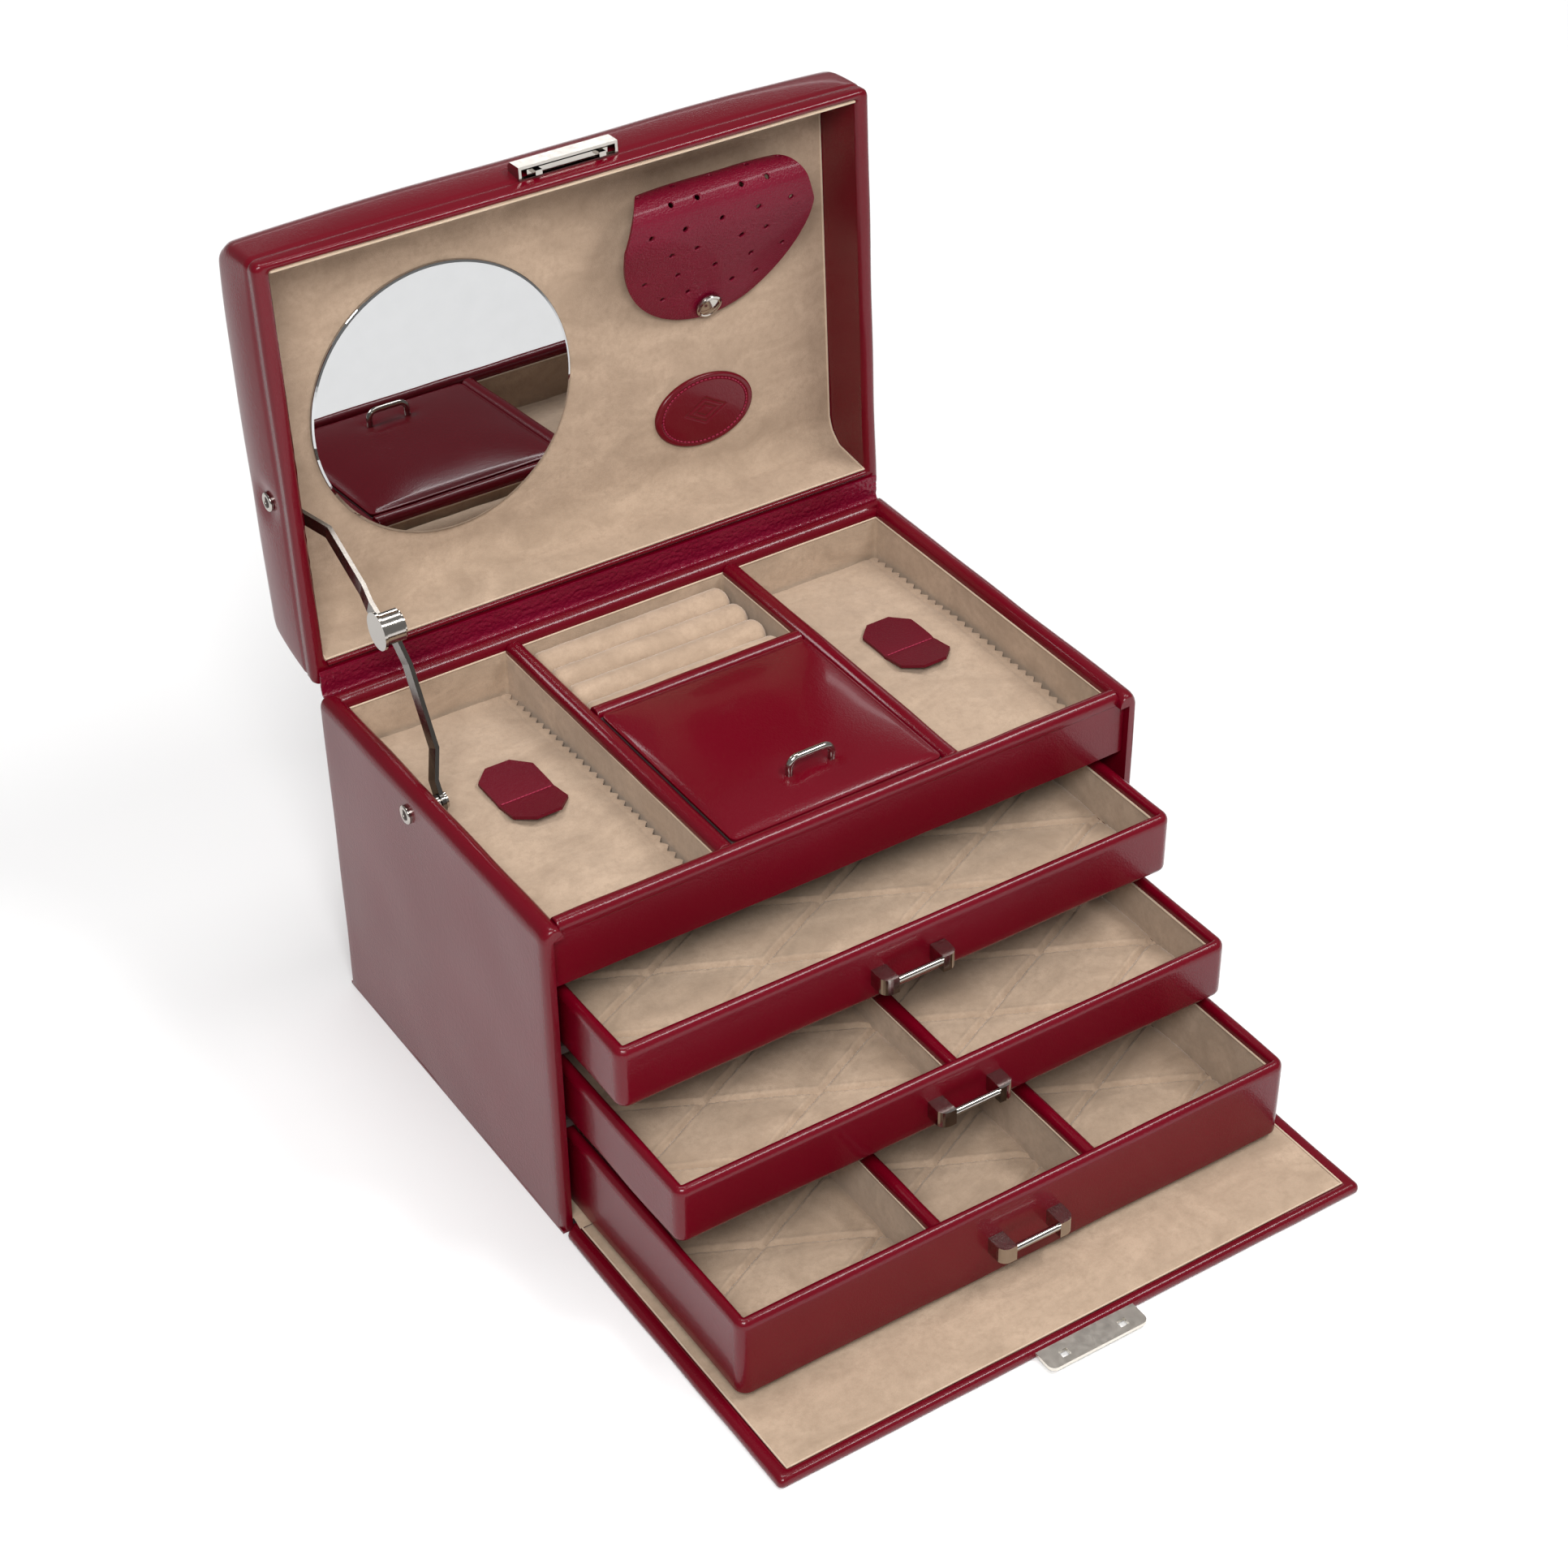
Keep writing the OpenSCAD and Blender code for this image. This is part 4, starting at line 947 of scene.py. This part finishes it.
def make_badge():
    """The oval badge: a stitched groove near its edge and two nested diamonds."""
    a, b = 24.5, 16.5
    groove = 0.865

    def out(share, angle):
        u, v = a * share * cos(angle), b * share * sin(angle)
        height = 1.7 + 0.5 * (1 - share ** 2) - 0.35 * exp(-((share - groove) / 0.022) ** 2)
        diamond = abs(u) / 9.5 + abs(v) / 5.6
        height -= 0.4 * exp(-((diamond - 1.0) / 0.09) ** 2)
        return height - 0.4 * exp(-((diamond - 0.5) / 0.09) ** 2)

    angles = turns(144)
    rings = [[oval_point(a, b, t, share, height) for t in angles]
             for share, height in ((1.0, 0.0), (1.004, 0.9), (0.99, 1.5))]
    for share in steps(0.965, 0.012, 62):
        rings.append([oval_point(a, b, t, share, out(share, t)) for t in angles])
    solid("badge", *open_lid(loft(rings)), "lid", *CRIMSON, ["lid_badge"])
    parts = []
    for t in turns(62):
        ends = [oval_point(a, b, t + d, groove, 1.78) for d in (-0.03, 0.0, 0.03)]
        parts.append(tube(ends, 0.33, n=6))
    solid("badge_stitches", *open_lid(join(*parts)), "lid", *THREAD)


# ---- Earring flap ----

FLAP_X = 70.2
LOOP_S, LOOP_H, LOOP_R = 151.0, 16.4, 10.0
FLAP_WIDE_S = 141.0
FLAP_THICK = 1.4
LEAF_S, LEAF_R = 130.0, 26.0
HOLE_R = 1.2


def flap_path():
    """Middle line [s, h] of the earring flap, from where it is sewn on to its rounded end."""
    points = arc((LOOP_S, LOOP_H), LOOP_R, 66, -88, 30)
    marks = [(LOOP_S - 1.0, 6.4), (142.0, 7.4), (134.0, 10.1), (122.0, 15.1), (110.0, 20.3), (93.0, 25.7)]
    for a, b in zip(marks, marks[1:]):
        points += [toward(a, b, t) for t in (0.25, 0.5, 0.75, 1.0)]
    for _ in range(3):
        middle = [tuple((a + 2 * b + c) / 4 for a, b, c in zip(*points[i - 1:i + 2]))
                  for i in range(1, len(points) - 1)]
        points = points[:1] + middle + points[-1:]
    return points


def flap_half_width(s, h):
    """Half width of the earring flap: narrowing round the loop, rounded at the free end."""
    if s > LOOP_S:
        round_loop = (90 + degrees(atan2(h - LOOP_H, s - LOOP_S))) / 156.0
        return 43.0 - 15.0 * max(round_loop, 0.0) ** 1.3
    if s > FLAP_WIDE_S:
        return 46.0 - (s - FLAP_WIDE_S) * 0.3
    return 46.0 * sqrt(max(1 - ((FLAP_WIDE_S - s) / 47.4) ** 2, 0.0))


def path_point(path, along):
    """Point and direction at a share of the path's length."""
    lengths = [0.0]
    for a, b in zip(path, path[1:]):
        lengths.append(lengths[-1] + hypot(b[0] - a[0], b[1] - a[1]))
    want = along * lengths[-1]
    i = max(k for k in range(len(path) - 1) if lengths[k] <= want + 1e-9)
    t = (want - lengths[i]) / (lengths[i + 1] - lengths[i])
    a, b = path[i], path[i + 1]
    return toward(a, b, t), Vector((b[0] - a[0], b[1] - a[1])).normalized()


def hole_row(path, kind, value):
    """The share of the path where a row of holes lies: at an angle round the loop, or at an s."""
    def away(t):
        s, h = path_point(path, t)[0]
        if kind == "angle":
            return abs(atan2(h - LOOP_H, s - LOOP_S) - radians(value))
        return abs(s - value) + (50 if h > 25.5 or s > LOOP_S else 0)

    return min((i / 400 for i in range(401)), key=away)


def hole_places(path):
    """Each hole as its row's share of the path and its x, in rows of five and four."""
    five, four = (-34.0, -18.0, 0.0, 18.0, 34.0), (-23.3, -10.8, 10.8, 23.3)
    rows = [("angle", 0.0), ("angle", -54.0), ("s", 145.2), ("s", 133.4), ("s", 121.5), ("s", 110.1)]
    found = []
    for k, row in enumerate(rows):
        found += [(hole_row(path, *row), x) for x in (four if k % 2 else five)]
    return found


def make_earring_flap():
    """The perforated flap, its leaf on the lid's lining, and the snap."""
    path = flap_path()
    rows = [i / 110 for i in range(105)] + [1 - (1 - i / 20) ** 2 * (1 - 104 / 110) for i in range(2, 20)]

    def point(u, t):
        (s, h), along = path_point(path, t)
        curl = 0.5 * abs(u) ** 4
        x = FLAP_X + u * max(flap_half_width(s, h), 2.0)
        lift = 0.35 * soft(x, s, 22, 11.0) - curl
        return lid_at(x, s - along.y * lift, h + along.x * lift)

    leaf = open_lid(sheet_grid(point, steps(-1.0, 1.0, 56), rows))
    flap = solid("earring_leaf", *leaf, "earring_flap", *PEBBLED, ["earring_flap"],
                 thick=FLAP_THICK)
    parts = []
    for t, x in hole_places(path):
        (s, h), along = path_point(path, t)
        normal = (-along.y, along.x)
        ends = [lid_at(FLAP_X + x, s + normal[0] * d, h + normal[1] * d) for d in (-3.0, 0.0, 3.0)]
        parts.append(tube(ends, HOLE_R, n=16))
    cutter = solid("hole_cutters", *open_lid(join(*parts)), "earring_flap", CRIMSON[0], ride=False)
    cut = flap.modifiers.new("holes", "BOOLEAN")
    cut.object = cutter
    cut.operation = "DIFFERENCE"
    cut.solver = "EXACT"
    bpy.context.view_layer.update()
    evaluated = flap.evaluated_get(bpy.context.evaluated_depsgraph_get())
    holed = bpy.data.meshes.new_from_object(evaluated)
    flap.modifiers.clear()
    flap.data = holed
    bpy.data.objects.remove(cutter)
    back = disc(FLAP_X, LEAF_S, [(LEAF_R, 0.0), (LEAF_R, 0.8)], 64)
    solid("earring_back_leaf", *back, "lid", *CRIMSON, ["earring_backing"], bevel=0.3)
    carry("earring_snap_stud", NICKEL, 0.2)
    make_snap_cap()


def make_snap_cap():
    """The snap's domed cap, square to the flap's sloping end."""
    lo, hi = box_mm("earring_snap_cap")
    centre = Vector([(a + b) / 2 for a, b in zip(lo, hi)])
    slope = radians(20.6)
    normal = Vector((0.0, -cos(slope), -sin(slope)))
    side = Vector((1.0, 0.0, 0.0))
    up = normal.cross(side)
    rings = []
    profile = [(6.0, -0.9), (6.2, -0.2), (5.9, 0.5), (5.0, 0.9),
               (4.5, 0.7), (3.6, 1.0), (2.0, 1.35), (0.4, 1.5)]
    for r, out in profile:
        rings.append([tuple(centre + normal * out + (side * cos(a) + up * sin(a)) * r)
                      for a in turns(48)])
    solid("snap_cap", *loft(rings), "earring_flap", *NICKEL, ["earring_snap_cap"])


# ---- Hinge bands ----

def make_lid_hinge():
    """The creased leather trough between the rear rim and the lid, given as (y, z)."""
    section = [(89.6, 153.3), (91.0, 152.6), (92.5, 152.5), (93.4, 153.6), (93.8, 155.4), (93.75, 157.0)]
    section += [(93.75 + 0.02 * (z - 157.0), z) for z in steps(157.6, 164.2, 11)]

    def point(x, k):
        y, z = between(section, k)
        fade = min(k / 3.0, (len(section) - 1 - k) / 2.0, 1.0)
        fine = 0.45 * noise.noise(Vector((x / 1.1, z / 1.6, 4.0)))
        crease = fine + 0.15 * noise.noise(Vector((x / 5.0, z / 2.0, 8.0)))
        return (x, y - 0.25 - fade * crease, z)

    reach = HALF_W - 2.5
    part = sheet_grid(point, steps(-reach, reach, 420), steps(0.0, len(section) - 1.001, 44))
    band = solid("lid_hinge_band", *part, "case", *CREASED, ["lid_hinge_strip"],
                 thick=0.7, ride=False)
    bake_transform(band)


def make_flap_hinge():
    """The suede fold from the case's floor down to the flap, given as (y, z)."""
    top = box_mm("flap_hinge_strip")[1][2]
    section = [(-HALF_D + 1.5, top + 0.1), (-HALF_D - 0.2, top), (-HALF_D - 2.5, 5.9), (-HALF_D - 5.2, 4.6)]

    def point(x, k):
        y, z = between(section, k)
        return (x, y, z + 0.15 * soft(x, y, 6, 3.0))

    reach = INNER_X - 0.6
    part = sheet_grid(point, steps(-reach, reach, 150), steps(0.0, len(section) - 1.001, 12))
    fold = solid("flap_hinge_fold", *part, "case", *BEIGE, ["flap_hinge_strip"],
                 thick=0.6, ride=False)
    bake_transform(fold)


# ---- Front flap ----

def make_flap():
    """The front flap lying open: leather border, suede lining and the piping between them."""
    lo, hi = box_mm("flap_leather")
    border, end, top = 6.0, 4.6, hi[2]
    profile = [(0.7, 0.02), (0.1, 0.7), (0.0, 1.8), (0.25, 3.0), (1.0, top - 0.25), (2.4, top + 0.25),
               (border - 1.6, top + 0.15), (border - 0.4, top - 0.3), (border, top - 0.9)]
    rings = []
    for o, z in profile:
        depth = o * end / border
        rings.append(rect_ring(lo[0] + o, hi[0] - o, lo[1] + depth, hi[1] - min(o, 0.3), z, 2.2, 60))
    inner = rect_ring(lo[0] + border, hi[0] - border, lo[1] + end, hi[1] - 0.3, top - 1.0, 0.5, 60)
    solid("flap_border", *loft(rings + [inner]), "flap", *CRIMSON, ["flap_leather"],
          wobble=(0.25, 30))
    y1 = -HALF_D - 5.0
    x0, x1, y0 = lo[0] + border + 0.1, hi[0] - border - 0.1, lo[1] + end + 0.1
    edge = [(0, top - 1.2), (0, top - 0.5), (0.3, top - 0.2), (1.0, top)]
    lining = inset_rings(x0, x1, y0, y1, edge, 0.8, 60)
    lining += fill_rings(x0 + 1, x1 - 1, y0 + 1, y1 - 1, top, 30, 0.6, 60)
    solid("flap_suede", *loft(lining), "flap", *BEIGE, ["flap_lining"], wobble=(0.3, 22))
    path = [(x0, y, top + 0.05) for y in steps(y1, y0, 50)]
    path += [(x, y0, top + 0.05) for x in steps(x0, x1, 80)][1:]
    path += [(x1, y, top + 0.05) for y in steps(y0, y1, 50)][1:]
    solid("flap_piping", *tube(path, 0.4), "flap", *EDGE)
    carry("lock_plate", PLATE, 0.3)


# ---- Cover cloths and their tabs ----

PINK_PITCH, PINK_DEPTH = 5.5, 2.6
CLOTH_Y = (-82.0, 81.6)


def cloth_height(x, y, side):
    """Height of a cover cloth, which bulges along its length and waves softly."""
    t = (y - CLOTH_Y[0]) / (CLOTH_Y[1] - CLOTH_Y[0])
    base = TRAY_Z + 4.2 + 2.9 * sin(pi * min(max(t, 0.0), 1.0))
    return base + 0.9 * soft(x, y, 26, 20.0 + side) + 0.35 * soft(x, y, 9, 30.0 + side)


def make_cloth(name, side, x0, x1, curl, tab_x):
    """A cover cloth with a pinked right edge. The left one's sheet is not attached to its cover and stays
    down when the cover lifts.
    """
    def point(u, y):
        tooth = abs((y / PINK_PITCH) % 1.0 - 0.5) * 2
        crease = exp(-((1 - u) * (x1 - x0) - 4.2) ** 2 / 1.2)
        x = x0 + (x1 - x0) * u - PINK_DEPTH * tooth * max(0.0, (u - 0.93) / 0.07) ** 1.5
        z = cloth_height(x, y, side) - 0.35 * crease
        return (x, y, z + curl * exp(-(x - x0) / 6.0))

    body = f"{name}_cover"
    bends = side < 0
    part = sheet_grid(point, steps(0.0, 0.9, 60) + steps(0.905, 1.0, 12), steps(*CLOTH_Y, 238))
    cloth = solid(f"{body}_sheet", *part, body, *CLOTH, [f"{body}_cloth"], thick=0.8,
                  ride=not bends)
    if bends:
        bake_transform(cloth)
    tab = make_tab(body, tab_x, side)


def make_tab(name, x, side):
    """A cloth's pull tab with cut corners, lifting in front of its stitched fold."""
    half, corner, back, front, fold = 12.7, 7.0, 34.0, -9.0, 10.0

    def half_width(y):
        near = min(y - front, back - y)
        return half - max(corner - near, 0.0)

    def height(u, y):
        z = cloth_height(x, (y + 12.0) / 2, side) + 1.3 + 0.02 * (y - fold)
        z += 4.2 * (max(fold - y, 0.0) / (fold - front)) ** 1.2
        return z + 0.12 * soft(x + u, y, 9, 41.0) - 0.35 * exp(-((y - fold) / 1.3) ** 2)

    def point(t, y):
        u = t * half_width(y)
        return (x + u, y, height(u, y))

    part = sheet_grid(point, steps(-1.0, 1.0, 24), steps(front, back, 48))
    tab = solid(f"{name}_pull", *part, name, *TAB, [f"{name}_tab"], thick=1.3)
    stitches = []
    for u in steps(-half + 2, half - 2, 12):
        ends = [(x + u + 0.75 * d, fold, height(u, fold) + 0.12) for d in (-1, 0, 1)]
        stitches.append(tube(ends, 0.26, n=6))
    thread = solid(f"{name}_stitches", *join(*stitches), name, *THREAD)
    return [tab, thread]


# ---- Small metal, and what the CAD gives as it is ----

def eyelet(name, body, at, turned=False):
    """Ring round a hole on the left side, at (y, z); the hole is a flat near-black disc, painted shade."""
    def circle(r, out):
        return [(-HALF_W - out, at[0] + r * cos(b), at[1] + r * sin(b)) for b in turns(40)]

    ring = loft([circle(3.1 + 1.05 * cos(a), 0.9 + 0.75 * sin(a)) for a in steps(0, 2 * pi, 16)],
                False, False)
    # A flat near-black disc in the ring: painted shade of the hole.
    hole = loft([circle(r, out) for r, out in ((2.3, 1.0), (2.2, 1.1), (0.2, 1.06))])
    if turned:
        ring, hole = open_lid(ring), open_lid(hole)
    solid(f"{name}_ring", *ring, body, *NICKEL)
    solid(f"{name}_hole", *hole, body, *BOARD_AND_SHADE)


def carry_the_rest():
    """The CAD's own pieces that stay on show, or are hidden inside, with their finishes."""
    # The boards take the near-black finish, which is painted shade where they show between the drawers.
    for node in ("base_board", "side_wall_boards", "back_wall_board", "tray_floor", "tray_frame",
                 "drawer_shelves", "drawer_guides", "lid_frame", "lid_top_board", "flap_board"):
        carry(node, BOARD_AND_SHADE, 0)
    for node in ("floor_lining", "inner_lid_ledges", "lid_padding"):
        carry(node, BEIGE, 0)
    carry("base_cover", CRIMSON, 0.6)
    for node in ("stay_body_rivet", "stay_lid_rivet", "stay_elbow_cover", "lock_case", "lock_latch"):
        carry(node, NICKEL, 0.3)
    for node in ("stay_lower_arm", "stay_upper_arm"):
        carry(node, STEEL, 0.45)


make_walls()
make_tray_front()
make_dividers()
make_tray_linings()
make_ring_rolls()
make_inner_lid()
make_drawer(1, (), 0.0)
make_drawer(2, (0.0,), 39.4)
make_drawer(3, (-37.0, 37.0), 81.0)
make_lid_shell()
make_lid_lining()
make_mirror()
make_badge()
make_earring_flap()
make_lid_hinge()
make_flap_hinge()
make_flap()
make_cloth("left", -1, -129.6, -57.8, 2.6, -90.0)
make_cloth("right", 1, 58.0, 130.2, 0.4, 98.0)
eyelet("stay_body_eyelet", "case", STAY_BODY)
eyelet("stay_lid_eyelet", "lid", STAY_LID, turned=True)
carry_the_rest()
make_floor()
make_studio()
make_camera()
